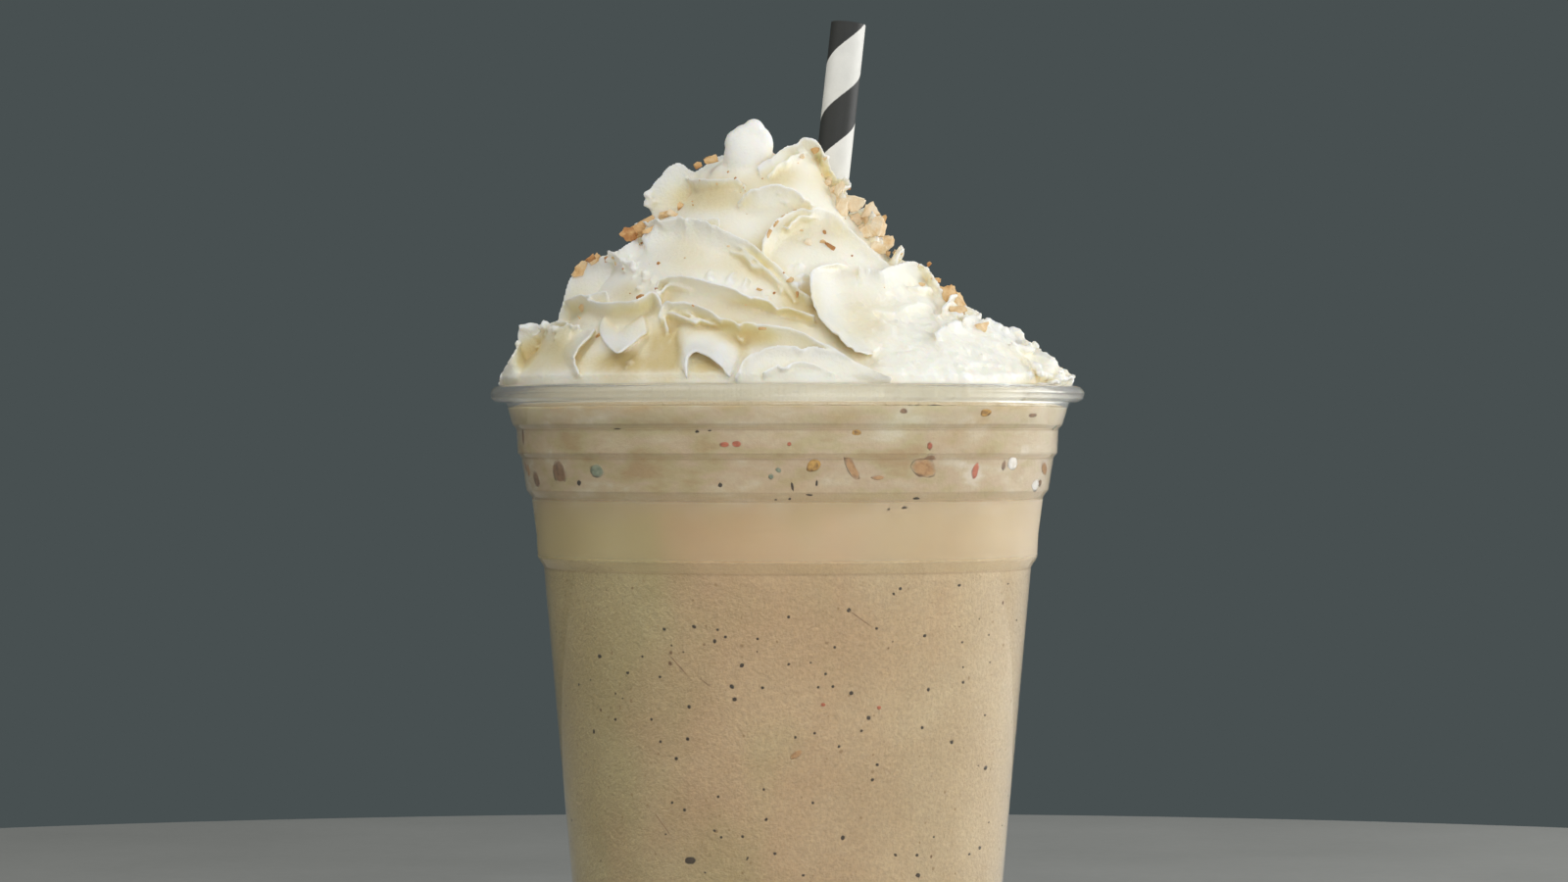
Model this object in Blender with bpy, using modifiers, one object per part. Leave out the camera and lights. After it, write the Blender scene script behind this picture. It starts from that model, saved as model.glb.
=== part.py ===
"""Iced chai frappe: a clear plastic cup filled with a blended drink, a ruffled mound of whipped
cream with biscuit crumbs, and a striped paper straw.

Metres, +Z up, the front faces -Y, origin at the middle of the base."""

import math
import random

import bmesh
import bpy
import numpy as np
from mathutils import Matrix, Vector, noise
from mathutils.bvhtree import BVHTree

MM = 0.001  # the sizes below are in millimetres
SIDES = 40  # sides of everything turned round the axis
WALL = 0.5
GAP = 0.3  # between touching pieces
PUSH_UP = 3.0  # height of the raised middle of the base
DRINK_LEVEL = 116.5
CREAM_BOTTOM = DRINK_LEVEL + GAP
RIM_TOP = 120.0
STRAW_RADIUS = 2.9
STRAW_BORE = 2.5
STRAW_SIDES = 20
STRAW_END, STRAW_TOP = 7.0, 180.9  # heights of its two ends
STRAW_LEAN = Vector((0.108, 0.05, 1.0))  # direction along the straw
STRAW_FOOT = Vector((-8.55, 1.85, STRAW_END))

# Outside of the cup as (radius, height), from under the rim past three ribs and a bead to the
# standing ring
CUP_WALL = [
    (46.3, 116.6), (45.4, 113.5), (44.75, 112.9), (44.55, 108.9), (44.0, 108.3), (43.55, 105.8),
    (43.1, 102.8), (42.2, 101.7), (41.4, 95.6), (41.2, 91.7), (40.25, 90.2), (32.25, 1.3),
    (31.6, 0.3), (30.7, 0.0), (29.7, 0.0), (28.8, 0.8), (28.0, PUSH_UP),
]
# Round the rolled rim, from the inside of the wall over the top to the outside
CUP_RIM = [
    (45.8, 118.7), (46.3, 119.6), (47.3, RIM_TOP), (48.4, 119.7), (49.0, 118.8), (48.8, 117.8),
    (48.0, 117.3), (46.5, 117.2),
]
THROAT = 117.0  # height at which the inside of the wall turns into the rim

# The body of the cream under its petals: (height, reach to the left, reach to the right)
CREAM_CORE = [
    (CREAM_BOTTOM, 45.2, 45.2), (121.4, 45.4, 45.2), (125.0, 42.0, 40.0), (132.0, 34.0, 28.2),
    (140.0, 27.8, 18.0), (148.0, 19.2, 10.2), (155.5, 12.4, 5.4), (158.0, 7.0, 3.2),
]
CORE_SIDES = 26
# Petals of the front as seen from -Y: (crest as (x, z) points, how far it stands out, where its
# root lies from the crest (x, z), how wide the root is against the crest)
FRONT_PETALS = [
    # under the peak, from the top down
    ([(-23.5, 151), (-21, 155), (-18, 156.8), (-15, 155.7), (-12, 157.8), (-7.5, 157.5)],
     3, (1.5, -7), 0.85),
    ([(-5, 155.3), (-2, 158), (2.5, 160.6), (5.5, 159.5), (7, 156.5), (10, 151.5)],
     3.5, (0, -7.5), 0.7),
    ([(-8.2, 149.5), (-6.5, 151.5), (-2, 152.2), (1.5, 151.3), (4.4, 149.5)], 4.5, (0, -5.5), 0.75),
    # the long ridge that falls from upper left to the middle
    ([(-24, 144.2), (-19, 147.6), (-13, 146.2), (-8, 143.7), (-3, 140.2), (1.5, 135.2), (4.5, 133)],
     4, (1, -7), 0.8),
    # the large petal right of the middle, and the shoulder and foot right of it
    ([(-4.3, 141.3), (-3, 145), (0, 147.8), (5, 148.7), (9, 146.5), (16.7, 139.2)],
     4.5, (0, -6.5), 0.75),
    ([(11.3, 138.9), (16, 138.9), (20.2, 140.5), (23.2, 139.8), (24.5, 137), (29.6, 131.2)],
     4, (0, -8.5), 0.85),
    ([(23.3, 128.2), (29.6, 131), (38.5, 128.6), (43, 124.8), (47.6, 121)], 3.5, (-1, -8), 0.8),
    # the petal that curls to the left, open to the right
    ([(8, 139.5), (4.3, 138.3), (3.6, 134.5), (5, 130), (9.8, 125.3), (13.2, 124.1)],
     5, (5.5, 1.5), 0.7),
    # two long ridges, one above the other
    ([(-21, 134.5), (-20, 137), (-13, 136.4), (-5, 133.8), (4.4, 130.7)], 5.5, (0.5, -3.5), 0.95),
    ([(-20.5, 130.7), (-19, 133), (-14, 132.2), (-8, 129.6), (1.3, 128.2), (9.4, 124.4)],
     6.5, (1, -5.5), 0.9),
    # the low lobe, the arch and the fold that hang over hollows along the rim
    ([(-8.2, 121), (-6, 124.2), (-1, 125.7), (7, 125.1), (16.4, 121)], 4, (0, -6), 0.85),
    ([(-16.6, 121), (-15, 124.4), (-11.5, 125), (-8.2, 121)], 4.5, (0.6, 3), 1.2),
    ([(-30.3, 128.8), (-28, 125.2), (-26, 124.6), (-22, 127.8)], 4.5, (0, 3.2), 1.1),
    ([(-30.9, 128.8), (-33.5, 125), (-32.7, 121.2)], 3, (-4, 0), 1.0),
    # the left shoulder, the ridge below it and the left foot
    ([(-38, 130.4), (-36, 138), (-33, 140.7), (-27.7, 142.3), (-24.6, 144.2)],
     3.5, (3, -6.5), 0.8),
    ([(-32.7, 134), (-29, 133.2), (-24, 133.5), (-20.9, 134.5), (-18.9, 128.8)],
     4.5, (0.5, -5), 0.95),
    ([(-46.8, 121.3), (-45, 128), (-42, 130.5), (-38.8, 129.4), (-34.7, 129)],
     4.5, (1, -9), 0.8),
]
# Rows of petals round the sides and back: (height, how many, how far they stand out, how far down
# their roots lie)
BACK_ROWS = [
    (121.8, 8, 2.8, 3.2), (127.8, 7, 3.0, 5.5), (134.0, 7, 3.0, 6.0), (140.5, 6, 3.0, 6.0),
    (147.0, 4, 3.0, 6.0), (152.5, 3, 2.6, 5.5), (156.5, 2, 1.8, 4.0),
]
BACK_FROM, BACK_TO = math.radians(58), math.radians(300)  # round from the front, by the right
PETAL_ROOT, PETAL_EDGE = 3.4, 0.9  # thickness
PETAL_DEPTH = 2.2  # how deep the root is sunk in the body
PETAL_STEP = 6.6  # length of one facet along a crest
# The blob at the top: (x, y, z, half width, half depth, half height)
PEAK = [
    (-6.1, -4.8, 157.0, 4.5, 4.0, 4.8), (-7.8, -4.6, 159.6, 2.5, 2.6, 3.0),
    (-5.7, -4.8, 160.6, 2.7, 2.6, 3.1),
]
# Crumbs as seen from -Y: (x, z, length, turn in degrees)
CRUMBS = [
    (-24.2, 146.2, 7.2, 28), (-21.4, 147.8, 3.2, 60), (11.4, 149.0, 3.4, 10), (14.0, 146.4, 3.6, 50),
    (15.0, 143.6, 3.4, 85), (12.8, 143.8, 3.0, 30), (10.2, 151.0, 2.8, 70), (15.6, 141.6, 2.6, 15),
    (26.4, 134.6, 4.2, 120), (28.4, 133.0, 3.0, 30), (-14.9, 156.2, 2.6, 20), (3.4, 142.9, 2.2, 0),
    (6.9, 142.2, 2.8, 40), (-34.6, 139.4, 2.8, 50), (3.6, 159.2, 2.4, 30), (-23.5, 134.1, 2.2, 0),
]
FRONT = -80.0  # a depth in front of everything
BACK_HALF = 12.0  # a line from the front that goes deeper than this has passed the outline
SUNK = 4.0  # how far in front of the axis a crumb beside the outline looks for cream
BEYOND = 70.0  # a radius and BELOW a height outside everything, for cutters
BELOW = 100.0


def along(points, t):
    """The point at t, 0 to 1, of a smooth curve through the points."""
    last = len(points) - 1
    x = min(max(t, 0.0), 1.0) * last
    i = min(int(x), last - 1)
    f = x - i
    p1, p2 = points[i], points[i + 1]
    p0 = points[i - 1] if i else [2 * a - b for a, b in zip(p1, p2)]
    p3 = points[i + 2] if i + 2 <= last else [2 * b - a for a, b in zip(p1, p2)]
    point = []
    for a, b, c, d in zip(p0, p1, p2, p3):
        square, cube = 2 * a - 5 * b + 4 * c - d, 3 * b - a - 3 * c + d
        point.append(0.5 * (2 * b + (c - a) * f + square * f * f + cube * f**3))
    return point


def core_radius(angle, z):
    """Radius of the cream's body at height z, the angle taken round from the front by the right."""
    heights, lefts, rights = zip(*CREAM_CORE)
    left, right = np.interp(z, heights, lefts), np.interp(z, heights, rights)
    return float((left + right) / 2 + (right - left) / 2 * math.sin(angle))


def on_mound(x, z, reach, view=0.0):
    """The point that looks x to the side and z high from the direction view, that far out from the body."""
    turn = 0.0
    for _ in range(6):
        radius = max(core_radius(turn + view, z) + reach, abs(x), 0.01)
        turn = math.asin(max(-1.0, min(1.0, x / radius)))
    return Vector((radius * math.sin(turn + view), -radius * math.cos(turn + view), z)) * MM


def new_object(name, bm):
    mesh = bpy.data.meshes.new(name)
    bm.to_mesh(mesh)
    bm.free()
    made = bpy.data.objects.new(name, mesh)
    bpy.context.scene.collection.objects.link(made)
    return made


def apply_modifiers(made):
    graph = bpy.context.evaluated_depsgraph_get()
    old = made.data
    made.data = bpy.data.meshes.new_from_object(made.evaluated_get(graph))
    made.modifiers.clear()
    bpy.data.meshes.remove(old)


def boolean(made, other, operation):
    """Applies one Boolean with an object or with a whole collection, and removes what it used."""
    cut = made.modifiers.new(operation.lower(), "BOOLEAN")
    cut.operation = operation
    cut.solver = "MANIFOLD"
    if isinstance(other, bpy.types.Collection):
        cut.operand_type = "COLLECTION"
        cut.collection = other
        used = list(other.objects)
    else:
        cut.object = other
        used = [other]
    apply_modifiers(made)
    for old in used:
        bpy.data.objects.remove(old)


def fuse(made, others):
    """Joins the objects to the first one, by one Boolean on a collection."""
    pieces = bpy.data.collections.new("pieces")
    bpy.context.scene.collection.children.link(pieces)
    for piece in others:
        for old in list(piece.users_collection):
            old.objects.unlink(piece)
        pieces.objects.link(piece)
    boolean(made, pieces, "UNION")
    bpy.data.collections.remove(pieces)


def turned(name, profile, closed=False):
    """A solid turned round Z from a profile of (radius, height), which runs down its outer side."""
    bm = bmesh.new()
    points = [bm.verts.new((r * MM, 0, z * MM)) for r, z in profile]
    for a, b in zip(points, points[1:] + points[:1] * closed):
        bm.edges.new((a, b))
    made = new_object(name, bm)
    screw = made.modifiers.new("turn", "SCREW")
    screw.steps = screw.render_steps = SIDES
    screw.use_merge_vertices = True
    screw.merge_threshold = 0.00001
    apply_modifiers(made)
    return made


def inset(profile, depth):
    """The profile moved that far inwards, its corners kept."""
    ends = [profile[0]] + profile + [profile[-1]]
    result = []
    for before, point, after in zip(ends, profile, ends[2:]):
        into, out_of = Vector(point) - Vector(before), Vector(after) - Vector(point)
        into = (into if into.length else out_of).normalized()
        out_of = (out_of if out_of.length else into).normalized()
        normal = Vector((into.y, -into.x))
        middle = (normal + Vector((out_of.y, -out_of.x))).normalized()
        result.append(tuple(Vector(point) + middle * depth / middle.dot(normal)))
    return result


def radius_at(profile, height):
    rows = sorted((z, r) for r, z in profile)
    return float(np.interp(height, [z for z, _ in rows], [r for _, r in rows]))


def rod(name, radius, start, end):
    """A closed cylinder between two points."""
    line = (end - start) * MM
    bpy.ops.mesh.primitive_cylinder_add(
        vertices=STRAW_SIDES, radius=radius * MM, depth=line.length
    )
    made = bpy.context.object
    made.name = name
    turn = line.to_track_quat("Z", "Y").to_matrix().to_4x4()
    made.data.transform(Matrix.Translation((start + end) / 2 * MM) @ turn)
    return made


def straw_hole(start, end):
    """What the straw's line takes out of a piece between two heights, with clearance."""
    points = [STRAW_FOOT + STRAW_LEAN * (z - STRAW_END) for z in (start, end)]
    return rod("straw hole", STRAW_RADIUS + GAP, *points)


def finish(made, name, colour, roughness, transmission=0.0):
    """Names the node, gives it its own material and shades it smooth up to its sharp edges."""
    made.name = made.data.name = name
    material = bpy.data.materials.new(name)
    material.use_nodes = True
    shader = material.node_tree.nodes["Principled BSDF"]
    shader.inputs["Base Color"].default_value = (*colour, 1)
    shader.inputs["Roughness"].default_value = roughness
    shader.inputs["Transmission Weight"].default_value = transmission
    made.data.materials.clear()
    made.data.materials.append(material)
    made.data.shade_smooth()
    made.data.set_sharp_from_angle(angle=math.radians(45))


def cup():
    inner = inset(CUP_WALL, WALL)
    floor = inner[-1][1]
    throat = (radius_at(inner, THROAT), THROAT)
    profile = [(0, floor)] + inner[::-1] + [throat] + CUP_RIM + CUP_WALL + [(0, PUSH_UP)]
    finish(turned("cup", profile), "cup", (0.86, 0.9, 0.9), 0.08, 1.0)


def frappe():
    side = inset(CUP_WALL, WALL + GAP)
    edge = (radius_at(side, DRINK_LEVEL), DRINK_LEVEL)
    below = [point for point in side if point[1] < DRINK_LEVEL - WALL]
    made = turned("frappe", [(0, DRINK_LEVEL), edge] + below + [(0, side[-1][1])])
    boolean(made, straw_hole(STRAW_END - GAP, RIM_TOP), "DIFFERENCE")
    finish(made, "frappe", (0.45, 0.33, 0.2), 0.5)


def petal(name, crest, stands_out, root, width, view=0.0, seed=0.0):
    """A blade from its root inside the body out to its crest, thick at the root and thin at the crest."""
    length = sum(math.dist(a, b) for a, b in zip(crest, crest[1:]))
    steps = max(4, round(length / PETAL_STEP))
    rows = 2
    middle = [sum(c) / len(crest) for c in zip(*crest)]
    bm = bmesh.new()
    grid = []
    for i in range(steps + 1):
        u = i / steps
        x, z = along(crest, u)
        root_x = middle[0] + (x - middle[0]) * width + root[0]
        root_z = middle[1] + (z - middle[1]) * width + root[1]
        reach = stands_out * (0.45 + 0.55 * math.sin(math.pi * u))
        reach += 0.5 * noise.noise(Vector((u * 9, seed, 0)))
        line = []
        for j in range(rows + 1):
            v = j / rows
            out = (reach + PETAL_DEPTH) * v**1.8 - PETAL_DEPTH
            point = on_mound(root_x + (x - root_x) * v, root_z + (z - root_z) * v, out, view)
            line.append(bm.verts.new(point))
        grid.append(line)
    for left, right in zip(grid, grid[1:]):
        for j in range(rows):
            bm.faces.new((left[j], right[j], right[j + 1], left[j + 1]))
    made = new_object(name, bm)
    taper = made.vertex_groups.new(name="towards the root")
    for i in range(len(made.data.vertices)):
        taper.add([i], 1 - (i % (rows + 1)) / rows, "REPLACE")
    thicken = made.modifiers.new("thickness", "SOLIDIFY")
    thicken.thickness = PETAL_ROOT * MM
    thicken.offset = 0.0
    thicken.vertex_group = taper.name
    thicken.thickness_vertex_group = PETAL_EDGE / PETAL_ROOT
    return made


def back_petals():
    """The petals that the front doesn't show: rows of uneven blades, by one rule with a fixed seed."""
    dice = random.Random(7)
    petals = []
    for z, count, stands_out, down in BACK_ROWS:
        for k in range(count):
            view = BACK_FROM + (BACK_TO - BACK_FROM) * (k + 0.5 + dice.uniform(-0.2, 0.2)) / count
            spread = min((BACK_TO - BACK_FROM) / count * dice.uniform(0.55, 0.72), 0.8)
            half = core_radius(view, z) * spread
            rise, lift = dice.uniform(0.1, 2.4), dice.uniform(0.2, 2.2)
            crest = [
                (-half, z - rise), (-half * 0.6, z + lift - rise),
                (half * 0.2, z + lift), (half, z + rise),
            ]
            reach = stands_out * dice.uniform(0.85, 1.0)
            seed = dice.uniform(0, 90)
            petals.append(petal("back petal", crest, reach, (0, -down), 0.85, view, seed))
    return petals


def peak():
    blobs = []
    for x, y, z, half_width, half_depth, half_height in PEAK:
        bpy.ops.mesh.primitive_ico_sphere_add(subdivisions=2, radius=MM)
        blob = bpy.context.object
        blob.data.transform(Matrix.Diagonal((half_width, half_depth, half_height, 1)))
        blob.data.transform(Matrix.Translation(Vector((x, y, z)) * MM))
        blobs.append(blob)
    return blobs


def crumb(surface, x, z, length, turn, dice):
    """A broken bit, half sunk where a line from the front meets the cream, or beside the outline there."""
    centre = surface.ray_cast(Vector((x, FRONT, z)) * MM, Vector((0, 1, 0)))[0]
    if not centre or centre.y > BACK_HALF * MM:
        near = surface.find_nearest(Vector((x, -SUNK, z)) * MM)[0]
        centre = Vector((x * MM, near.y, z * MM))
    bpy.ops.mesh.primitive_ico_sphere_add(subdivisions=1, radius=0.5 * MM)
    made = bpy.context.object
    thick = 1.2 + 0.25 * length
    for v in made.data.vertices:
        v.co = Vector((v.co.x * length, v.co.y * thick, v.co.z * thick)) * dice.uniform(0.85, 1.2)
    made.data.transform(Matrix.Translation(centre) @ Matrix.Rotation(-math.radians(turn), 4, "Y"))
    return made


def keep_largest(made):
    """Drops the loose scraps that Booleans can leave beside the one body."""
    bm = bmesh.new()
    bm.from_mesh(made.data)
    left, bodies = set(bm.faces), []
    while left:
        edge = [left.pop()]
        body = list(edge)
        while edge:
            near = {f for e in edge.pop().edges for f in e.link_faces} & left
            left -= near
            edge += near
            body += near
        bodies.append(body)
    for scrap in sorted(bodies, key=len)[:-1]:
        bmesh.ops.delete(bm, geom=scrap, context="FACES")
    bm.to_mesh(made.data)
    bm.free()


def body():
    """The mound under the petals."""
    bm = bmesh.new()
    rings = []
    for z, _, _ in CREAM_CORE:
        ring = []
        for k in range(CORE_SIDES):
            angle = 2 * math.pi * k / CORE_SIDES
            radius = core_radius(angle, z)
            point = Vector((math.sin(angle) * radius, -math.cos(angle) * radius, z))
            ring.append(bm.verts.new(point * MM))
        rings.append(ring)
    for low, high in zip(rings, rings[1:]):
        for k in range(CORE_SIDES):
            after = (k + 1) % CORE_SIDES
            bm.faces.new((low[k], low[after], high[after], high[k]))
    bm.faces.new(rings[0][::-1])
    bm.faces.new(rings[-1])
    return new_object("cream", bm)


def cream():
    made = body()
    front = [petal("front petal", *values, seed=1.7 * n) for n, values in enumerate(FRONT_PETALS)]
    fuse(made, front + back_petals() + peak())
    surface = BVHTree.FromObject(made, bpy.context.evaluated_depsgraph_get())
    dice = random.Random(3)
    fuse(made, [crumb(surface, *values, dice) for values in CRUMBS])

    inside = radius_at(inset(CUP_WALL, WALL), THROAT) - GAP
    top = RIM_TOP + GAP
    wall = turned(
        "wall and rim", [(BEYOND, top), (BEYOND, BELOW), (inside, BELOW), (inside, top)], closed=True
    )
    drink = turned(
        "drink", [(0, CREAM_BOTTOM), (BEYOND, CREAM_BOTTOM), (BEYOND, BELOW), (0, BELOW)]
    )
    boolean(made, wall, "DIFFERENCE")
    boolean(made, drink, "DIFFERENCE")
    boolean(made, straw_hole(BELOW, STRAW_TOP), "DIFFERENCE")
    keep_largest(made)
    finish(made, "cream", (0.86, 0.8, 0.66), 0.6)


def straw():
    end = STRAW_FOOT + STRAW_LEAN * (STRAW_TOP - STRAW_END)
    made = rod("straw", STRAW_RADIUS, STRAW_FOOT, end)
    boolean(made, rod("bore", STRAW_BORE, STRAW_FOOT - STRAW_LEAN, end + STRAW_LEAN), "DIFFERENCE")
    finish(made, "straw", (0.75, 0.75, 0.7), 0.7)


for old in list(bpy.data.objects):
    bpy.data.objects.remove(old)
cup()
frappe()
cream()
straw()
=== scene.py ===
"""Looks of an iced chai frappe: a clear ribbed cup filled with a speckled blended drink, a ruffled mound
of whipped cream with biscuit crumbs, and a striped paper straw. The front faces -Y."""

import math
import random

import bmesh
import bpy
import numpy as np
from mathutils import Matrix, Vector, noise
from mathutils.bvhtree import BVHTree


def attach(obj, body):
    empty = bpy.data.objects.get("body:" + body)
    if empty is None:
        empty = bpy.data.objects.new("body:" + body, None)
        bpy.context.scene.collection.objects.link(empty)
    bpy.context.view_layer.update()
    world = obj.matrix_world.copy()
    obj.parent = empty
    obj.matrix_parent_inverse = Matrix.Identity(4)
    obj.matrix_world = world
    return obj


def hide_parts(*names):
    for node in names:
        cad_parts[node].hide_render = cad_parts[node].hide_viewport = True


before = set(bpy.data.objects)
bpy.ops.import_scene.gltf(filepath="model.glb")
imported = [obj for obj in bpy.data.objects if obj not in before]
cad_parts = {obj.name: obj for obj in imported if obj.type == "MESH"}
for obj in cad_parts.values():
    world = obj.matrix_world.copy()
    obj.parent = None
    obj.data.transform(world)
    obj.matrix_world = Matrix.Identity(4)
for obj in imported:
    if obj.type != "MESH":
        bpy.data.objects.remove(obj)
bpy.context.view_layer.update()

# Sizes are in millimetres, as in the part's own source
MM = 0.001
WALL = 0.5
INTO_WALL = 0.08  # how far what fills the cup reaches into its wall
PUSH_UP = 3.0
DRINK_LEVEL = 116.5
RIM_TOP = 120.0
CUP_SIDES = 160
CENTRE_HOLE = 0.6  # radius of the flat face in the middle of a turned piece
EYE_DISTANCE, EYE_HEIGHT = 713, 112.5  # the camera's place
LOOK_FROM = 80  # how far out a look that finds a place on the surface starts
OUTLINE_Y = -4  # where the cream's outline lies, from front to back
FRONT_TO_Y = 12  # what lies further back doesn't count as the front

CUP_WALL = [
    (46.3, 116.6), (45.4, 113.5), (44.75, 112.9), (44.55, 108.9), (44.0, 108.3), (43.55, 105.8),
    (43.1, 102.8), (42.2, 101.7), (41.4, 95.6), (41.2, 91.7), (40.25, 90.2), (32.25, 1.3),
    (31.6, 0.3), (30.7, 0.0), (29.7, 0.0), (28.8, 0.8), (28.0, PUSH_UP),
]
CUP_RIM = [
    (45.8, 118.7), (46.3, 119.6), (47.3, RIM_TOP), (48.4, 119.7), (49.0, 118.8), (48.8, 117.8),
    (48.0, 117.3), (46.5, 117.2),
]
THROAT = 117.0  # the height at which the rim's inside meets the wall's
FROSTED_FROM, FROSTED_TO = 91.9, 101.6  # the smooth writing band, less clear than the rest
LEDGES = [(90.2, 91.7), (101.7, 102.8), (108.3, 108.9), (112.9, 113.5)]  # the steps in the wall

STRAW_RADIUS = 2.9
STRAW_WALL = 0.4
STRAW_LEAN = Vector((0.108, 0.05, 1.0))
STRAW_FOOT = Vector((-8.55, 1.85, 7.0))
STRAW_TOP = 180.9
STRIPE_PITCH = 17.5  # along the straw for one turn of the stripe
STRIPE_BLACK = 158.6  # distance from the foot at which the front's line meets the middle of black
BLACK_SHARE = 0.46

# The body of the cream: (height, reach to the left, reach to the right)
CREAM_CORE = [
    (116.4, 45.2, 45.2), (121.4, 45.4, 45.2), (125.0, 42.0, 40.0), (132.0, 34.0, 28.2),
    (140.0, 27.8, 18.0), (148.0, 19.2, 10.2), (155.5, 12.4, 5.4), (158.0, 7.0, 3.2),
]
HANGING = 0.5  # how a flap that hangs from above bends out, against CURLING for one that stands up
CURLING = 1.8
# Petals of the front: (crest as (x, z) points, how far it stands out, where its root lies from the
# crest (x, z), how wide the root is against the crest, how it bends)
FRONT_PETALS = [
    # under the peak, from the top down
    ([(-23.5, 151), (-21, 155), (-18, 156.8), (-15, 155.7), (-12, 157.8), (-7.5, 157.5)],
     3, (1.5, -7), 0.85),
    ([(-5, 155.3), (-2, 158), (2.5, 160.6), (5.5, 159.5), (7, 156.5), (10, 151.5)],
     3.5, (0, -7.5), 0.7),
    ([(-8.2, 149.5), (-6.5, 151.5), (-2, 152.2), (1.5, 151.3), (4.4, 149.5)], 4.5, (0, -5.5), 0.75),
    # the long ridge that falls from upper left to the middle
    ([(-24, 144.2), (-19, 147.6), (-13, 146.2), (-8, 143.7), (-3, 140.2), (1.5, 135.2), (4.5, 133)],
     4, (1, -7), 0.8),
    # the large petal right of the middle, and the shoulder and foot right of it
    ([(-4.3, 141.3), (-3, 145), (0, 147.8), (5, 148.7), (9, 146.5), (16.7, 139.2)],
     4.5, (0, -6.5), 0.75),
    ([(11.3, 138.9), (16, 138.9), (20.2, 140.5), (23.2, 139.8), (24.5, 137), (29.6, 131.2)],
     4, (0, -8.5), 0.85),
    ([(23.3, 128.2), (29.6, 131), (38.5, 128.6), (43, 124.8), (47.6, 121)], 3.5, (-1, -8), 0.8),
    # the petal that curls to the left, open to the right
    ([(8, 139.5), (4.3, 138.3), (3.6, 134.5), (5, 130), (9.8, 125.3), (13.2, 124.1)],
     5, (5.5, 1.5), 0.7),
    # two long ridges, one above the other
    ([(-21, 134.5), (-20, 137), (-13, 136.4), (-5, 133.8), (4.4, 130.7)], 5.5, (0.5, -3.5), 0.95),
    ([(-20.5, 130.7), (-19, 133), (-14, 132.2), (-8, 129.6), (1.3, 128.2), (9.4, 124.4)],
     6.5, (1, -5.5), 0.9),
    # the low lobe, the arch and the fold that hang over hollows along the rim
    ([(-8.2, 121), (-6, 124.2), (-1, 125.7), (7, 125.1), (16.4, 121)], 4, (0, -6), 0.85),
    ([(-15.6, 120.4), (-15.5, 124), (-13.5, 124.6), (-10.9, 122.9), (-8.9, 120.7)],
     2.9, (0.1, 4.0), 1.25, HANGING),
    ([(-30.1, 128.6), (-28.6, 126.2), (-26.5, 124.7), (-24.6, 126), (-22.2, 127.8)],
     4.2, (0, 2.0), 1.0, HANGING),
    ([(-30.9, 128.8), (-33.5, 125), (-32.7, 121.2)], 3, (-4, 0), 1.0),
    # the left shoulder, the ridge below it and the left foot
    ([(-38, 130.4), (-36, 138), (-33, 140.7), (-27.7, 142.3), (-24.6, 144.2)],
     3.5, (3, -6.5), 0.8),
    ([(-32.7, 134), (-29, 133.2), (-24, 133.5), (-20.9, 134.5), (-18.9, 128.8)],
     4.5, (0.5, -5), 0.95),
    ([(-48.0, 121), (-46, 123.2), (-44.3, 125.8), (-44.6, 128.4), (-42.6, 130.4), (-39, 129.6),
      (-35, 129.8)], 4.0, (2, -8), 0.8),
]
# Rows of petals round the back: (height, how many, how far they stand out, how far down they root)
BACK_ROWS = [
    (121.8, 8, 3.0, 3.2), (127.8, 7, 4.4, 5.5), (134.0, 7, 4.8, 6.0), (140.5, 6, 4.8, 6.0),
    (147.0, 4, 4.6, 6.0), (152.5, 3, 3.8, 5.5), (156.5, 2, 2.4, 4.0),
]
LOWEST_ROW = BACK_ROWS[0][0]
BACK_FROM, BACK_TO = math.radians(58), math.radians(300)
PETAL_DEPTH = 2.2  # how deep a petal's root lies in the body
PETAL_STEP, PETAL_ROWS = 0.55, 16  # its grid, along the crest and up to it
PETAL_ROOT, PETAL_EDGE = 3.2, 0.38  # its thickness
# Lumps of the peak: (x, y, z, half width, half depth, half height)
PEAK = [
    (-6.4, -4.8, 156.8, 4.1, 3.9, 5.4), (-7.9, -4.6, 159.8, 2.4, 2.5, 2.4),
    (-6.9, -4.7, 160.7, 2.3, 2.5, 2.2), (-5.5, -4.8, 161.4, 2.0, 2.1, 2.4),
    (-4.6, -4.8, 159.6, 2.3, 2.4, 3.0),
]
CREAM_VOXEL = 0.26
MOST_TRIANGLES = 190_000


def srgb(red, green, blue):
    """The linear colour of an 8-bit screen colour."""
    linear = []
    for value in (red, green, blue):
        value /= 255
        linear.append(value / 12.92 if value <= 0.04045 else ((value + 0.055) / 1.055) ** 2.4)
    return (*linear, 1.0)


# Modelling

def deselect():
    if bpy.context.mode != "OBJECT":
        bpy.ops.object.mode_set(mode="OBJECT")
    bpy.ops.object.select_all(action="DESELECT")


def choose(*pieces):
    """Selects these pieces alone, the first one active."""
    deselect()
    for piece in pieces:
        piece.select_set(True)
    bpy.context.view_layer.objects.active = pieces[0]


def apply_all(piece):
    choose(piece)
    for modifier in list(piece.modifiers):
        bpy.ops.object.modifier_apply(modifier=modifier.name)


def join(pieces, name):
    choose(*pieces)
    bpy.ops.object.join()
    joined = bpy.context.object
    joined.name = joined.data.name = name
    return joined


def modify(piece, kind, **values):
    modifier = piece.modifiers.new(kind.lower(), kind)
    for key, value in values.items():
        setattr(modifier, key, value)


def new_piece(bm, name):
    """A piece of its own from a finished bmesh."""
    mesh = bpy.data.meshes.new(name)
    bm.to_mesh(mesh)
    bm.free()
    piece = bpy.data.objects.new(name, mesh)
    bpy.context.scene.collection.objects.link(piece)
    choose(piece)
    return piece


def settle(piece):
    """Puts the piece's place, turn and size into its mesh."""
    choose(piece)
    bpy.ops.object.transform_apply(location=True, rotation=True, scale=True)


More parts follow.
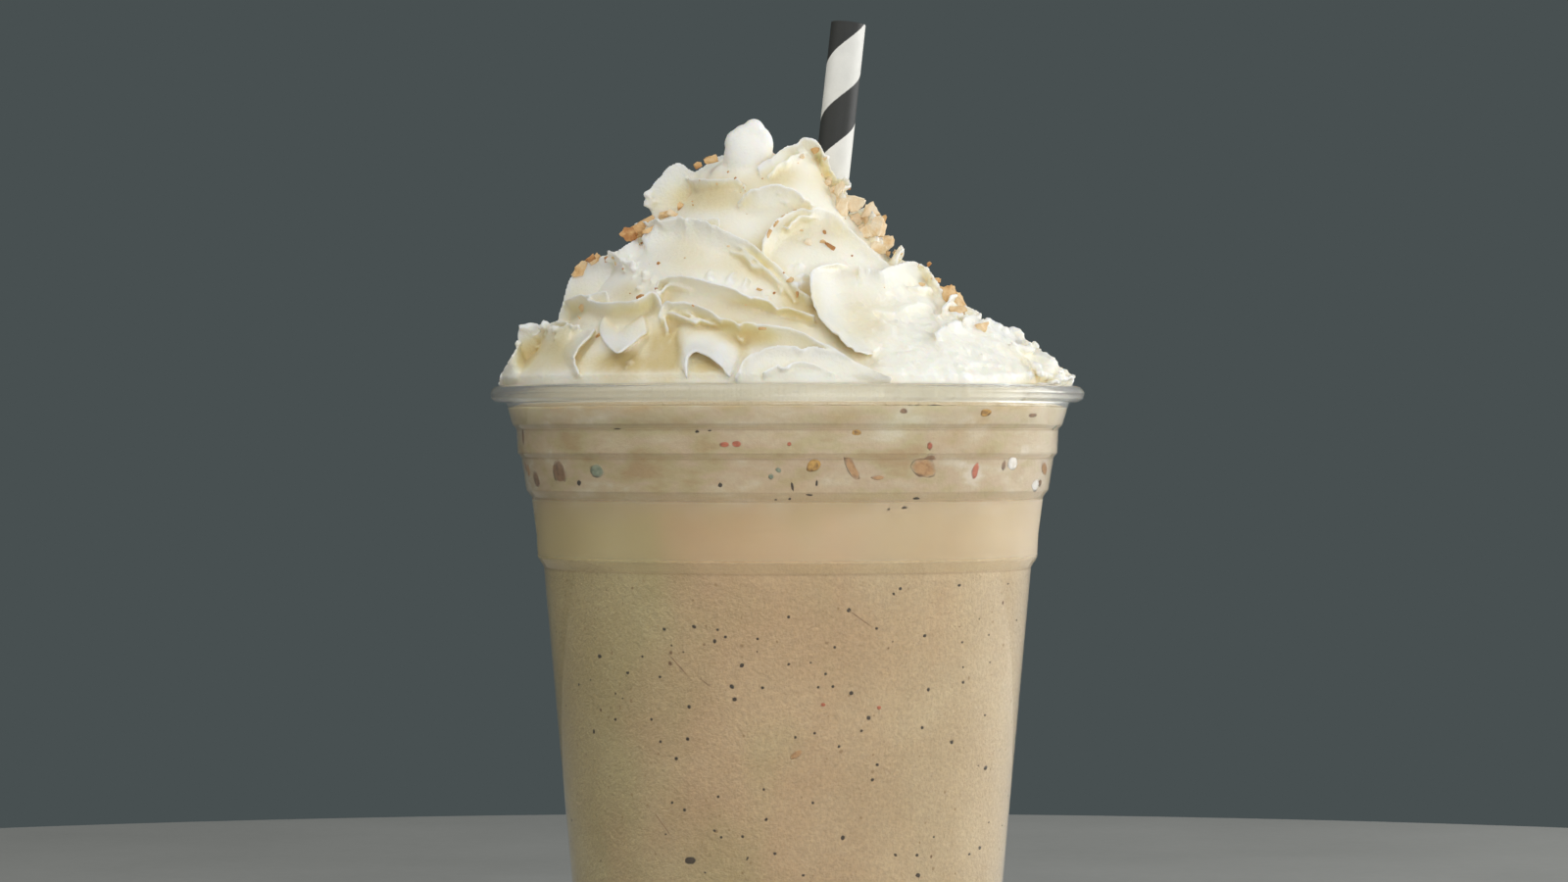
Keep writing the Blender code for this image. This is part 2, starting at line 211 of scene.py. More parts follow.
def dress(piece, node, *materials):
    """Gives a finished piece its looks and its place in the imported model."""
    settle(piece)
    piece.data.materials.clear()
    for material in materials:
        piece.data.materials.append(material)
    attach(piece, "root")
    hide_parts(node)


def points_of(mesh, what="co"):
    """The mesh's points, or their normals, as an array."""
    flat = np.empty(len(mesh.vertices) * 3)
    mesh.vertices.foreach_get(what, flat)
    return flat.reshape(-1, 3)


def set_points(mesh, points):
    mesh.vertices.foreach_set("co", np.asarray(points, dtype=np.float32).ravel())
    mesh.update()


def surface_of(piece):
    return BVHTree.FromObject(piece, bpy.context.evaluated_depsgraph_get())


def front_hit(surface, x, z):
    """Where a look from the front meets the surface, or nothing where that is far back."""
    hit = surface.ray_cast(Vector((x, -LOOK_FROM, z)) * MM, Vector((0, 1, 0)))[0]
    return hit if hit and hit.y <= FRONT_TO_Y * MM else None


def near_outline(surface, x, z):
    return surface.find_nearest(Vector((x, OUTLINE_Y, z)) * MM)[0]


def any_turn(dice):
    return Matrix.Rotation(dice.uniform(0, 6.3), 3, Vector([dice.gauss(0, 1) for _ in range(3)]))


def own_noise(dice):
    """A place in the noise that no other bit shares."""
    return Vector([dice.uniform(0, 50) for _ in range(3)])


def round_back(dice, degrees):
    """An angle round the back, at least that many degrees away from the front."""
    return dice.uniform(math.radians(degrees), math.radians(360 - degrees))


def inset(profile, depth):
    """The profile moved that far inwards, its corners kept."""
    ends = [profile[0]] + profile + [profile[-1]]
    result = []
    for before, point, after in zip(ends, profile, ends[2:]):
        into, out_of = Vector(point) - Vector(before), Vector(after) - Vector(point)
        into = (into if into.length else out_of).normalized()
        out_of = (out_of if out_of.length else into).normalized()
        normal = Vector((into.y, -into.x))
        middle = (normal + Vector((out_of.y, -out_of.x))).normalized()
        result.append(tuple(Vector(point) + middle * depth / middle.dot(normal)))
    return result


def radius_at(profile, height):
    """How wide a wall is at a height. Its profile comes down to the foot, and turns in under it."""
    foot = min(range(len(profile)), key=lambda k: profile[k][1])
    rows = profile[foot::-1]
    return float(np.interp(height, [z for _, z in rows], [r for r, _ in rows]))


def ringed(name, profile, rounding):
    """A turned piece: a filled circle, extruded ring by ring along a profile of (radius, height)."""
    radius, height = profile[0]
    deselect()
    bpy.ops.mesh.primitive_circle_add(
        vertices=CUP_SIDES, radius=radius * MM, fill_type="NGON", location=(0, 0, height * MM)
    )
    piece = bpy.context.object
    piece.name = piece.data.name = name
    bpy.ops.object.mode_set(mode="EDIT")
    bpy.ops.mesh.select_all(action="SELECT")
    for (r0, z0), (r1, z1) in zip(profile, profile[1:]):
        rise = {"value": (0, 0, (z1 - z0) * MM)}
        bpy.ops.mesh.extrude_region_move(TRANSFORM_OT_translate=rise)
        bpy.ops.transform.resize(value=(r1 / r0, r1 / r0, 1), center_override=(0, 0, 0))
    bpy.ops.mesh.select_all(action="SELECT")
    bpy.ops.mesh.normals_make_consistent(inside=False)
    bpy.ops.object.mode_set(mode="OBJECT")
    settle(piece)
    modify(piece, "BEVEL", width=rounding * MM, segments=3, angle_limit=math.radians(9))
    apply_all(piece)
    bpy.ops.object.shade_smooth()
    return piece


# Materials

class Net:
    """A node tree, with short ways to add nodes. A value is a number, a colour or an output to link."""

    def __init__(self, tree):
        self.tree = tree

    def feed(self, socket, value):
        if isinstance(value, bpy.types.NodeSocket):
            self.tree.links.new(value, socket)
        else:
            socket.default_value = value

    def set(self, node, **values):
        """Sets a node's properties and, by name, its inputs."""
        for key, value in values.items():
            if hasattr(node, key):
                setattr(node, key, value)
            else:
                self.feed(node.inputs[key.replace("_", " ")], value)
        return node

    def add(self, kind, *inputs, **values):
        node = self.set(self.tree.nodes.new("ShaderNode" + kind), **values)
        for socket, value in zip(node.inputs, inputs):
            self.feed(socket, value)
        return node

    def maths(self, operation, *inputs):
        return self.add("Math", *inputs, operation=operation).outputs[0]

    def mix(self, factor, first, second, blend="MIX"):
        """A mix of two colours, each an output or a screen colour."""
        node = self.add("Mix", data_type="RGBA", blend_type=blend)
        for number, value in ((0, factor), (6, first), (7, second)):
            self.feed(node.inputs[number], srgb(*value) if isinstance(value, tuple) else value)
        return node.outputs[2]

    def ramp(self, factor, *stops):
        """A colour ramp from (position, screen colour or grey) stops."""
        node = self.add("ValToRGB", Fac=factor)
        elements = node.color_ramp.elements
        while len(elements) < len(stops):
            elements.new(0.5)
        for element, (position, colour) in zip(elements, stops):
            element.position = position
            element.color = srgb(*colour) if isinstance(colour, tuple) else (colour, colour, colour, 1)
        return node.outputs["Color"]

    def span(self, value, low, high, most=1.0):
        """Nothing at low and before it, the most at high and after it."""
        node = self.add("MapRange", Value=value, From_Min=low, From_Max=high, To_Max=most)
        return node.outputs["Result"]

    def noise(self, place, **values):
        return self.add("TexNoise", Vector=place, **values).outputs["Fac"]

    def place(self):
        return self.add("TexCoord").outputs["Object"]

    def axes(self, vector):
        return list(self.add("SeparateXYZ", Vector=vector).outputs)

    def mark(self, name):
        """A value that the piece's own points carry."""
        return self.add("Attribute", attribute_name=name).outputs["Fac"]

    def group(self, tree, **values):
        return self.add("Group", node_tree=tree, **values).outputs

    def bump(self, shader, height, distance, strength):
        node = self.add("Bump", Height=height, Distance=distance, Strength=strength)
        self.feed(shader.inputs["Normal"], node.outputs["Normal"])


def new_material(name):
    material = bpy.data.materials.new(name)
    material.use_nodes = True
    return material, Net(material.node_tree), material.node_tree.nodes["Principled BSDF"]


def new_group(name, inputs, **outputs):
    """A node group with the inputs' values and the outputs' kinds, and its own two ends."""
    tree = bpy.data.node_groups.new(name, "ShaderNodeTree")
    for label, value in inputs.items():
        socket = tree.interface.new_socket(label, in_out="INPUT", socket_type="NodeSocketFloat")
        socket.default_value = value
    for label, kind in outputs.items():
        tree.interface.new_socket(label, in_out="OUTPUT", socket_type="NodeSocket" + kind)
    return Net(tree), tree.nodes.new("NodeGroupInput").outputs, tree.nodes.new("NodeGroupOutput").inputs


def grain_group():
    """Soft cloudiness and a fine grain: sizes in metres come in, a mottle and a bump height come out."""
    sizes = {"Clouds": 0.008, "Grain": 0.0006}
    net, inside, outside = new_group("cloud and grain", sizes, Mottle="Float", Height="Float")
    place = net.place()
    fields = []
    for name, detail in (("Clouds", 3.0), ("Grain", 2.0)):
        scale = net.maths("DIVIDE", 1.0, inside[name])
        fields.append(net.noise(place, Scale=scale, Detail=detail, Roughness=0.55))
    net.feed(outside["Mottle"], net.maths("MULTIPLY_ADD", fields[1], 0.35, fields[0]))
    net.feed(outside["Height"], fields[1])
    return net.tree


def speck_group():
    """Scattered specks: cell size in metres, speck size and share of the cells that have one."""
    sizes = {"Cell": 0.003, "Size": 0.15, "Share": 0.4}
    net, inside, outside = new_group("specks", sizes, Mask="Float")
    place = net.place()
    wobble = net.add("TexNoise", Vector=place, Scale=1600.0, Detail=1.0).outputs["Color"]
    shifted = net.add("VectorMath", wobble, (0.0003, 0.0003, 0.0003), place, operation="MULTIPLY_ADD")
    scale = net.maths("DIVIDE", 1.0, inside["Cell"])
    cells = net.add("TexVoronoi", Vector=shifted.outputs["Vector"], Scale=scale).outputs
    draw = net.add("SeparateColor", Color=cells["Color"]).outputs
    size = net.maths("MULTIPLY", inside["Size"], draw["Green"])
    near = net.maths("SUBTRACT", size, cells["Distance"])
    kept = net.maths("LESS_THAN", draw["Red"], inside["Share"])
    net.feed(outside["Mask"], net.maths("MULTIPLY", net.span(near, -0.02, 0.03), kept))
    return net.tree


WANDER = 0.004  # how far the edges of the drink's zones wander up and down
FROTH_FROM, FROTH_TO = 0.098, 0.104  # the streaked froth, over these heights
HEAD_FROM, HEAD_TO = 0.1085, 0.119  # the patchy head on it
PLAIN_TO = 0.089  # the drink is plain and freckled up to here
# The specks of the plain drink: (cell, speck size, share of cells, colour, weight)
SPECK_KINDS = [(0.0019, 0.17, 0.5, (132, 104, 66), 0.6), (0.0037, 0.11, 0.45, (92, 60, 34), 0.85)]
# The painted lines at the wall's steps: (reach below the step, above it, weight, colour), painted light over
# each step and a painted shadow at its foot
LEDGE_LIGHT_AND_SHADOW = [(0.15, 0.1, 0.2, (220, 196, 154)), (0.4, -0.15, 0.34, (124, 100, 66))]


def painted_ledge_line(net, z, below, above_foot, most):
    """A mask with a soft line at each step of the wall, to paint light over the steps and shadow at their
    feet.
    """
    low, high = LEDGES[0][0] - 1, LEDGES[-1][1] + 1
    stops = []
    for foot, top in LEDGES:
        end = top if above_foot > 0 else foot + 0.1
        line = ((foot - below, 0.0), (foot + above_foot, most), (end - 0.1, most), (end + 0.15, 0.0))
        stops += [((height - low) / (high - low), share) for height, share in line]
    return net.ramp(net.span(z, low * MM, high * MM), *stops)


def drink_group():
    """The drink's colour: cloudy tan, streaked where it froths at the top, with soft freckles of spice, and
    painted shade and light across it and at the wall's steps.
    """
    net, _, outside = new_group("drink tones", {}, Colour="Color", Relief="Float")
    place = net.place()
    x, _, z = net.axes(place)

    def cloud(width, tall, detail, seed):
        """Noise with clouds that wide and tall, in metres."""
        scale = (1 / width, 1 / width, 1 / tall)
        stretched = net.add("Mapping", Vector=place, Location=(seed, seed, seed), Scale=scale)
        return net.noise(stretched.outputs["Vector"], Scale=1.0, Detail=detail, Roughness=0.6)

    def above(low, high, most):
        """A mask that grows from nothing to the most between two heights, its edge wandering."""
        wandering = net.maths("MULTIPLY_ADD", cloud(0.012, 0.012, 2.0, 3.0), 2 * WANDER, z)
        return net.span(wandering, low + WANDER, high + WANDER, most)

    tone = net.ramp(
        cloud(0.016, 0.016, 4.0, 0.0), (0.36, (176, 151, 112)), (0.5, (183, 159, 121)),
        (0.64, (191, 169, 132)),
    )
    # its hue across the width, pinkish in the middle, with painted shade that makes it darker and olive
    # towards the left
    leftwards = net.maths("MULTIPLY_ADD", x, -13.0, cloud(0.02, 0.03, 2.0, 7.0))
    hue_and_left_shade = net.ramp(leftwards, (0.2, (193, 174, 143)), (0.5, (193, 161, 126)), (0.85, (170, 163, 114)))
    colour = net.mix(0.45, tone, hue_and_left_shade)
    streaks = net.ramp(
        cloud(0.011, 0.0045, 3.0, 11.0), (0.32, (164, 138, 101)), (0.42, (174, 160, 123)),
        (0.5, (184, 163, 138)), (0.58, (188, 173, 147)), (0.7, (205, 196, 182)),
    )
    colour = net.mix(above(FROTH_FROM, FROTH_TO, 0.8), colour, streaks)
    patches = net.ramp(
        cloud(0.013, 0.006, 2.0, 19.0), (0.36, (186, 158, 106)), (0.5, (194, 182, 157)),
        (0.64, (194, 192, 152)),
    )
    colour = net.mix(above(HEAD_FROM, HEAD_TO, 0.5), colour, patches)

    # painted shade over the width, and painted light along the right edge, where a lamp grazes it
    radius = net.maths("MULTIPLY_ADD", z, 0.09, 0.0322)
    from_left = net.maths("MULTIPLY_ADD", net.maths("DIVIDE", x, radius), 0.5, 0.5)
    shade = net.ramp(
        from_left, (0.03, 1.0), (0.1, 0.95), (0.2, 0.91), (0.3, 0.94), (0.46, 1.0), (0.7, 1.0),
        (0.82, 0.97), (0.95, 1.0),
    )
    colour = net.mix(1.0, colour, shade, "MULTIPLY")
    right_edge_light = net.ramp(from_left, (0.86, 0.0), (0.94, 0.08), (0.99, 0.35))
    colour = net.mix(right_edge_light, colour, (238, 228, 214))

    # grain and freckles, mostly below the froth
    plain = net.maths("SUBTRACT", 1.0, above(PLAIN_TO, PLAIN_TO + 0.003, 1.0))
    fine = net.ramp(cloud(0.0006, 0.0006, 2.0, 0.0), (0.35, 0.86), (0.65, 1.02))
    colour = net.mix(net.maths("MULTIPLY_ADD", plain, 0.6, 0.4), colour, fine, "MULTIPLY")
    for cell, size, share, tint, weight in SPECK_KINDS:
        specks = net.group(SPECKS, Cell=cell, Size=size, Share=share)["Mask"]
        weighed = net.maths("MULTIPLY", net.maths("MULTIPLY", specks, weight), plain)
        colour = net.mix(weighed, colour, tint)
    # painted light over the wall's steps and painted shadow at their feet
    for below, above_foot, most, tint in LEDGE_LIGHT_AND_SHADOW:
        colour = net.mix(painted_ledge_line(net, z, below, above_foot, most), colour, tint)
    net.feed(outside["Colour"], colour)

    coarse, pore = cloud(0.0011, 0.0011, 3.0, 1.0), cloud(0.0004, 0.0004, 2.0, 5.0)
    relief = net.maths("MULTIPLY_ADD", pore, 0.6, coarse)
    net.feed(
        outside["Relief"], net.maths("MULTIPLY", relief, net.maths("MULTIPLY_ADD", plain, 0.75, 0.25))
    )
    return net.tree


GRAIN = grain_group()
SPECKS = speck_group()
DRINK = drink_group()


def clear_plastic():
    """Thin clear plastic, frosted on its writing band, that lets light through to what it holds."""
    material, net, shader = new_material("clear plastic")
    place = net.place()
    z = net.axes(place)[2]
    low, high = FROSTED_FROM * MM, FROSTED_TO * MM
    edge = MM / (high - low + 2 * MM)
    band = net.ramp(
        net.span(z, low - MM, high + MM), (0.6 * edge, 0.06), (1.4 * edge, 0.3), (1 - 1.4 * edge, 0.3),
        (1 - 0.6 * edge, 0.06),
    )
    rim = net.span(z, (THROAT - 0.4) * MM, (THROAT + 0.6) * MM, 0.22)
    net.set(
        shader, Base_Color=(0.97, 0.98, 0.97, 1), Transmission_Weight=0.96, IOR=1.38,
        Roughness=net.maths("MAXIMUM", band, rim),
    )
    net.bump(shader, net.noise(place, Scale=90.0, Detail=1.0), 0.0004, 0.12)
    passes = net.add("BsdfTransparent", Color=(0.95, 0.96, 0.95, 1))
    in_shadow = net.add("LightPath").outputs["Is Shadow Ray"]
    shown = net.add("MixShader", in_shadow, shader.outputs["BSDF"], passes.outputs["BSDF"])
    net.feed(material.node_tree.nodes["Material Output"].inputs["Surface"], shown.outputs["Shader"])
    return material


def milky(net, shader, colour, relief):
    """The finish of the drink, and of what is soaked in it: no gloss of its own behind the wall."""
    net.set(
        shader, Base_Color=colour, Roughness=0.5, Specular_IOR_Level=0.1, Subsurface_Weight=0.2,
        Subsurface_Radius=(1.0, 0.7, 0.4), Subsurface_Scale=0.002,
    )
    net.bump(shader, relief, 0.0006, 0.55)


def blended_drink():
    """Tan ice-blended tea with milk: cloudy, frothy and freckled."""
    material, net, shader = new_material("blended drink")
    drink = net.group(DRINK)
    milky(net, shader, drink["Colour"], drink["Relief"])
    return material


def spice(name, colour, dark, softness):
    """A solid bit in the drink, its colour uneven, its edge veiled by the drink round it."""
    material, net, shader = new_material(name)
    mottle = net.group(GRAIN, Clouds=0.0012, Grain=0.0003)["Mottle"]
    tone = net.ramp(mottle, (0.5, dark), (0.75, colour))
    uneven = net.maths("MULTIPLY_ADD", mottle, 0.5, net.mark("core"))
    bare = net.span(uneven, 0.2 + 0.3 * softness, 0.2 + 1.3 * softness, 0.9)
    drink = net.group(DRINK)
    milky(net, shader, net.mix(bare, drink["Colour"], tone), drink["Relief"])
    return material


def whipped_cream():
    """Soft dairy cream, ivory and uneven, whiter where it froths; painted light on thin edges and some
    faces, painted shade in hollows.
    """
    material, net, shader = new_material("whipped cream")
    grain = net.group(GRAIN, Clouds=0.007, Grain=0.0005)
    # painted shade: yellower and darker where cream closes a point in, and in the listed shade patches; the
    # mottle adds the cream's own uneven tone
    painted_shade = net.maths("MULTIPLY_ADD", net.mark("hollow"), 0.45, net.mark("shaded_yellow"))
    uneven = net.maths("MULTIPLY_ADD", grain["Mottle"], 0.3, painted_shade)
    tone = net.ramp(
        uneven, (0.12, (249, 246, 234)), (0.38, (243, 236, 216)), (0.66, (232, 220, 182)),
        (1.0, (213, 193, 141)),
    )
    # painted highlight on the thin crests, and whiter froth with painted light in the listed patches
    edge = net.maths("MULTIPLY", net.mark("crest"), 1.6)
    pale = net.add("Clamp", Value=net.maths("MULTIPLY_ADD", net.mark("white"), 0.85, edge))
    colour = net.mix(pale.outputs["Result"], tone, (252, 249, 241))

    # painted shade where the cream is sunk in the cup, and the drink's colour where it is soaked at the
    # drink's level
    z = net.axes(net.place())[2]
    shade_in_cup = net.span(z, (RIM_TOP + 0.4) * MM, (RIM_TOP - 0.8) * MM, 0.85)
    soaked = net.span(z, (THROAT + 0.6) * MM, (THROAT + 0.3) * MM)
    colour = net.mix(soaked, net.mix(shade_in_cup, colour, (170, 157, 128)), (180, 159, 123))
    net.set(
        shader, Base_Color=colour, Roughness=0.5, Specular_IOR_Level=0.35, Subsurface_Weight=0.45,
        Subsurface_Radius=(1.0, 0.75, 0.45), Subsurface_Scale=0.0035,
    )
    net.bump(shader, grain["Height"], 0.0003, 0.45)
    return material


def biscuit():
    """Baked crumbs, each with its own tone from pale to well browned."""
    material, net, shader = new_material("biscuit crumb")
    grain = net.group(GRAIN, Clouds=0.0014, Grain=0.00035)
    uneven = net.maths("MULTIPLY_ADD", grain["Mottle"], 0.5, net.mark("tone"))
    colour = net.ramp(
        net.maths("MULTIPLY", uneven, 0.8), (0.25, (244, 229, 202)), (0.55, (234, 203, 157)),
        (0.8, (218, 174, 117)), (1.0, (184, 128, 76)),
    )
    net.set(shader, Base_Color=colour, Roughness=0.75)
    net.bump(shader, grain["Height"], 0.0003, 0.6)
    return material


def striped_paper():
    """White paper wound into a tube, one black stripe that climbs round it, with a faint fibre."""
    material, net, shader = new_material("striped paper")
    place = net.place()
    own = net.add(
        "Mapping", Vector=place, Location=STRAW_FOOT * MM, Rotation=straw_turn().to_euler(),
        vector_type="TEXTURE",
    )
    x, y, run = net.axes(own.outputs["Vector"])
    angle = net.maths("ARCTAN2", x, net.maths("MULTIPLY", y, -1.0))
    turns = net.maths("DIVIDE", run, STRIPE_PITCH * MM)
    phase = net.maths("MULTIPLY_ADD", angle, -1 / (2 * math.pi), turns)
    phase = net.maths("ADD", phase, BLACK_SHARE / 2 - STRIPE_BLACK / STRIPE_PITCH)
    fibre = net.noise(place, Scale=2600.0, Detail=3.0)
    wound = net.maths("FRACT", net.maths("MULTIPLY_ADD", fibre, 0.012, phase))
    stripe = net.ramp(
        wound, (0.0, (42, 43, 41)), (BLACK_SHARE - 0.006, (48, 49, 46)),
        (BLACK_SHARE + 0.006, (232, 230, 222)), (0.994, (236, 234, 227)), (1.0, (42, 43, 41)),
    )
    across = net.add("CombineXYZ", x, y).outputs["Vector"]
    from_axis = net.add("VectorMath", across, operation="LENGTH").outputs["Value"]
    inside = net.maths("LESS_THAN", from_axis, (STRAW_RADIUS - STRAW_WALL / 2) * MM)
    printed = net.mix(inside, stripe, (226, 223, 212))
    worn = net.ramp(net.group(GRAIN, Clouds=0.003, Grain=0.0002)["Mottle"], (0.4, 0.9), (0.9, 1.0))
    net.set(shader, Base_Color=net.mix(1.0, printed, worn, "MULTIPLY"), Roughness=0.62)
    net.bump(shader, fibre, 0.0001, 0.25)
    return material


# Pieces

def cup():
    """The wall out from under the foot, over the rim and down inside to the floor."""
    inner = inset(CUP_WALL, WALL)
    throat = (radius_at(inner, THROAT), THROAT)
    under = (CENTRE_HOLE, PUSH_UP)
    floor = (CENTRE_HOLE, inner[-1][1])
    profile = [under] + CUP_WALL[::-1] + CUP_RIM[::-1] + [throat] + inner + [floor]
    dress(ringed("cup", profile, 0.16), "cup", clear_plastic())


def drink_side():
    """The drink's side, just inside the wall, up to its level."""
    side = inset(CUP_WALL, WALL - INTO_WALL)
    edge = (radius_at(side, DRINK_LEVEL), DRINK_LEVEL)
    return [edge] + [point for point in side if point[1] < DRINK_LEVEL - WALL]


def frappe():
    side = drink_side()
    bottom, top = (CENTRE_HOLE, side[-1][1]), (CENTRE_HOLE, DRINK_LEVEL)
    dress(ringed("frappe", [bottom] + side[::-1] + [top], 0.12), "frappe", blended_drink())


# Bits in the drink at the front: (x, z, width, height, turn in degrees, kind)
BITS = [
    (4.3, 106.8, 2.6, 1.9, -35, "amber"), (22.4, 106.4, 4.2, 3.2, 10, "tan"),
    (23.4, 107.9, 1.8, 1.8, 0, "brown"), (10.7, 106.3, 1.5, 4.4, -28, "tan"),
    (30.9, 105.9, 1.1, 2.6, 5, "red"), (35.6, 106.9, 0.8, 1.8, 0, "brown"),
    (37.0, 107.2, 1.6, 2.1, 0, "white"), (23.5, 110.1, 1.0, 1.4, 0, "red"),
    (11.4, 112.2, 1.3, 1.2, 0, "amber"), (19.2, 115.9, 1.2, 1.0, 0, "brown"),
    (32.7, 115.6, 1.8, 1.3, 0, "amber"), (40.4, 115.2, 1.5, 0.8, 0, "brown"),
    (-37.5, 105.7, 2.3, 4.3, 0, "brown"), (-41.2, 104.6, 1.3, 2.6, -8, "brown"),
    (-31.4, 105.9, 2.4, 2.2, 40, "green"), (-10.4, 110.3, 1.5, 0.9, 0, "red"),
    (-8.4, 110.4, 1.5, 1.0, 0, "red"), (0.3, 110.4, 0.8, 0.8, 0, "red"),
    (-2.7, 105.0, 1.0, 1.0, 0, "green"), (-1.5, 106.1, 1.1, 0.7, 35, "green"),
    (14.9, 104.8, 2.2, 0.8, 0, "tan"), (-28.0, 112.9, 1.3, 0.5, 0, "dark"),
    (-14.9, 112.4, 0.8, 0.6, 0, "dark"), (-12.8, 112.6, 0.7, 0.4, 0, "dark"),
    (-11.1, 103.6, 0.8, 0.8, 0, "dark"), (-34.3, 104.0, 0.8, 0.9, 0, "dark"),
    (0.8, 103.4, 0.5, 1.5, -12, "dark"), (4.8, 103.9, 0.4, 1.2, 0, "dark"),
    (3.6, 102.1, 1.2, 0.4, 10, "dark"), (0.4, 101.4, 0.5, 0.5, 0, "dark"),
    (-1.9, 101.2, 0.6, 0.5, 0, "dark"), (21.2, 101.5, 1.1, 0.5, 0, "dark"),
    (19.3, 99.9, 1.0, 0.5, 0, "dark"), (16.7, 99.6, 0.5, 0.4, 0, "dark"),
    (-16.0, 41.5, 1.7, 1.2, 0, "dark"), (15.1, 66.8, 0.9, 0.8, 0, "red"),
    (5.9, 67.3, 0.9, 0.7, 0, "red"), (1.4, 59.0, 2.4, 1.1, -30, "tan"),
    (-18.0, 73.9, 0.22, 5.8, -40, "brown"), (12.2, 81.4, 0.18, 5.4, -54, "brown"),
    (-20.5, 47.5, 0.2, 5.5, -35, "brown"), (-13.6, 71.0, 0.2, 2.6, -50, "brown"),
]
# Dark flecks at the front, further down: (x, z, size)
FLECKS = [
    (-20.3, 79.8, 0.6), (-12.0, 77.8, 0.65), (-30.9, 75.3, 0.7), (-7.5, 73.8, 0.8), (-26.3, 72.6, 0.6),
    (-21.0, 71.9, 0.45), (-4.1, 70.1, 0.6), (-8.7, 68.2, 0.75), (-16.2, 67.0, 0.7), (10.1, 82.9, 0.7),
    (22.6, 78.7, 0.6), (6.3, 72.4, 0.5), (23.2, 69.8, 0.6), (10.5, 69.2, 0.8), (13.4, 65.1, 0.75),
    (22.2, 63.5, 0.55), (12.2, 63.0, 0.5), (8.5, 60.4, 0.5), (14.8, 57.4, 0.55), (14.0, 54.9, 0.6),
    (4.2, 51.1, 0.5), (-3.9, 53.3, 0.5), (-3.5, 48.3, 0.6), (-11.4, 52.1, 0.5), (-19.0, 51.1, 0.5),
    (-20.9, 61.2, 0.5), (-18.3, 58.4, 0.65), (-22.4, 64.9, 0.5), (-28.3, 64.9, 0.5),
    (-28.3, 69.2, 0.45), (-12.0, 46.5, 0.5), (-10.9, 45.4, 0.5), (-7.4, 45.5, 0.55), (21.5, 39.1, 0.8),
    (0.2, 81.8, 0.55), (-4.9, 78.2, 0.5), (-11.5, 79.7, 0.5), (-10.2, 78.5, 0.5), (0.2, 74.0, 0.5),
    (7.8, 76.8, 0.5), (14.7, 79.9, 0.5), (18.6, 86.5, 0.55), (7.5, 70.3, 0.5), (5.1, 70.2, 0.45),
    (1.3, 61.9, 0.5), (4.5, 62.6, 0.5),
]
# Two tones of each kind of bit, and over how much of it the drink veils its edge
SPICES = {
    "amber": ((198, 150, 66), (122, 80, 30), 0.3),
    "tan": ((186, 140, 92), (152, 106, 64), 0.7),
    "brown": ((142, 106, 76), (102, 72, 50), 0.6),
    "red": ((190, 96, 64), (158, 76, 52), 0.6),
    "green": ((138, 146, 122), (98, 116, 98), 0.6),
    "white": ((236, 230, 222), (220, 211, 198), 0.5),
    "dark": ((34, 16, 6), (14, 6, 2), 0.05),
}


def on_drink(side, angle, z):
    """Where the drink meets the wall, and the frame there: sideways, outwards and up the wall."""
    radius, above = radius_at(side, z), radius_at(side, z + 1)
    outward = Vector((math.sin(angle), -math.cos(angle), 0))
    sideways = Vector((math.cos(angle), math.sin(angle), 0))
    up = (outward * (above - radius) + Vector((0, 0, 1))).normalized()
    frame_here = Matrix((sideways, up.cross(sideways), up)).transposed()
    return (outward * radius + Vector((0, 0, z))) * MM, frame_here


def as_seen(side, x, z):
    """The angle and height, on the drink's near side, of what the camera sees over x and z on its axis."""
    nearer = 1.0
    for _ in range(4):
        radius = radius_at(side, EYE_HEIGHT + (z - EYE_HEIGHT) * nearer)
        angle = math.asin(x * nearer / radius)
        nearer = 1 - radius * math.cos(angle) / EYE_DISTANCE
    return angle, EYE_HEIGHT + (z - EYE_HEIGHT) * nearer


SEEDED_BITS = 46  # more bits in the froth, round the back
SEEDED_FLECKS = 230  # more flecks in the plain drink, and how many of them are at the front
FRONT_FLECKS = 60
BIT_RADIUS = 0.5  # of a bit before it gets its own width and height
BULGE = 0.1  # how far it stands out, as a share of a full round


def bits_in_drink(dice, side):
    """Every bit: its angle and height on the drink, its width and height, its turn and its kind."""
    bits = []
    for x, z, width, height, turn, kind in BITS:
        bits.append((*as_seen(side, x, z), width, height, turn, kind))
    for _ in range(SEEDED_BITS):
        angle = round_back(dice, 66)
        kind = dice.choice(["amber", "tan", "tan", "brown", "brown", "red", "green", "white"])
        z = dice.uniform(103.6, 107.6) if dice.random() < 0.7 else dice.uniform(109, 116)
        size = dice.uniform(0.9, 2.8)
        bits.append((angle, z, size, size * dice.uniform(0.6, 1.7), dice.uniform(-40, 40), kind))
    for x, z, size in FLECKS:
        bits.append((*as_seen(side, x, z), size, size, dice.uniform(-90, 90), "dark"))
    for k in range(SEEDED_FLECKS):
        size = 0.3 + 0.5 * dice.random() ** 3
        angle = round_back(dice, 55) if k < SEEDED_FLECKS - FRONT_FLECKS else dice.uniform(-1, 1)
        z = dice.uniform(5, 89)
        bits.append((angle, z, size, size * dice.uniform(0.7, 1.4), dice.uniform(-90, 90), "dark"))
    return bits


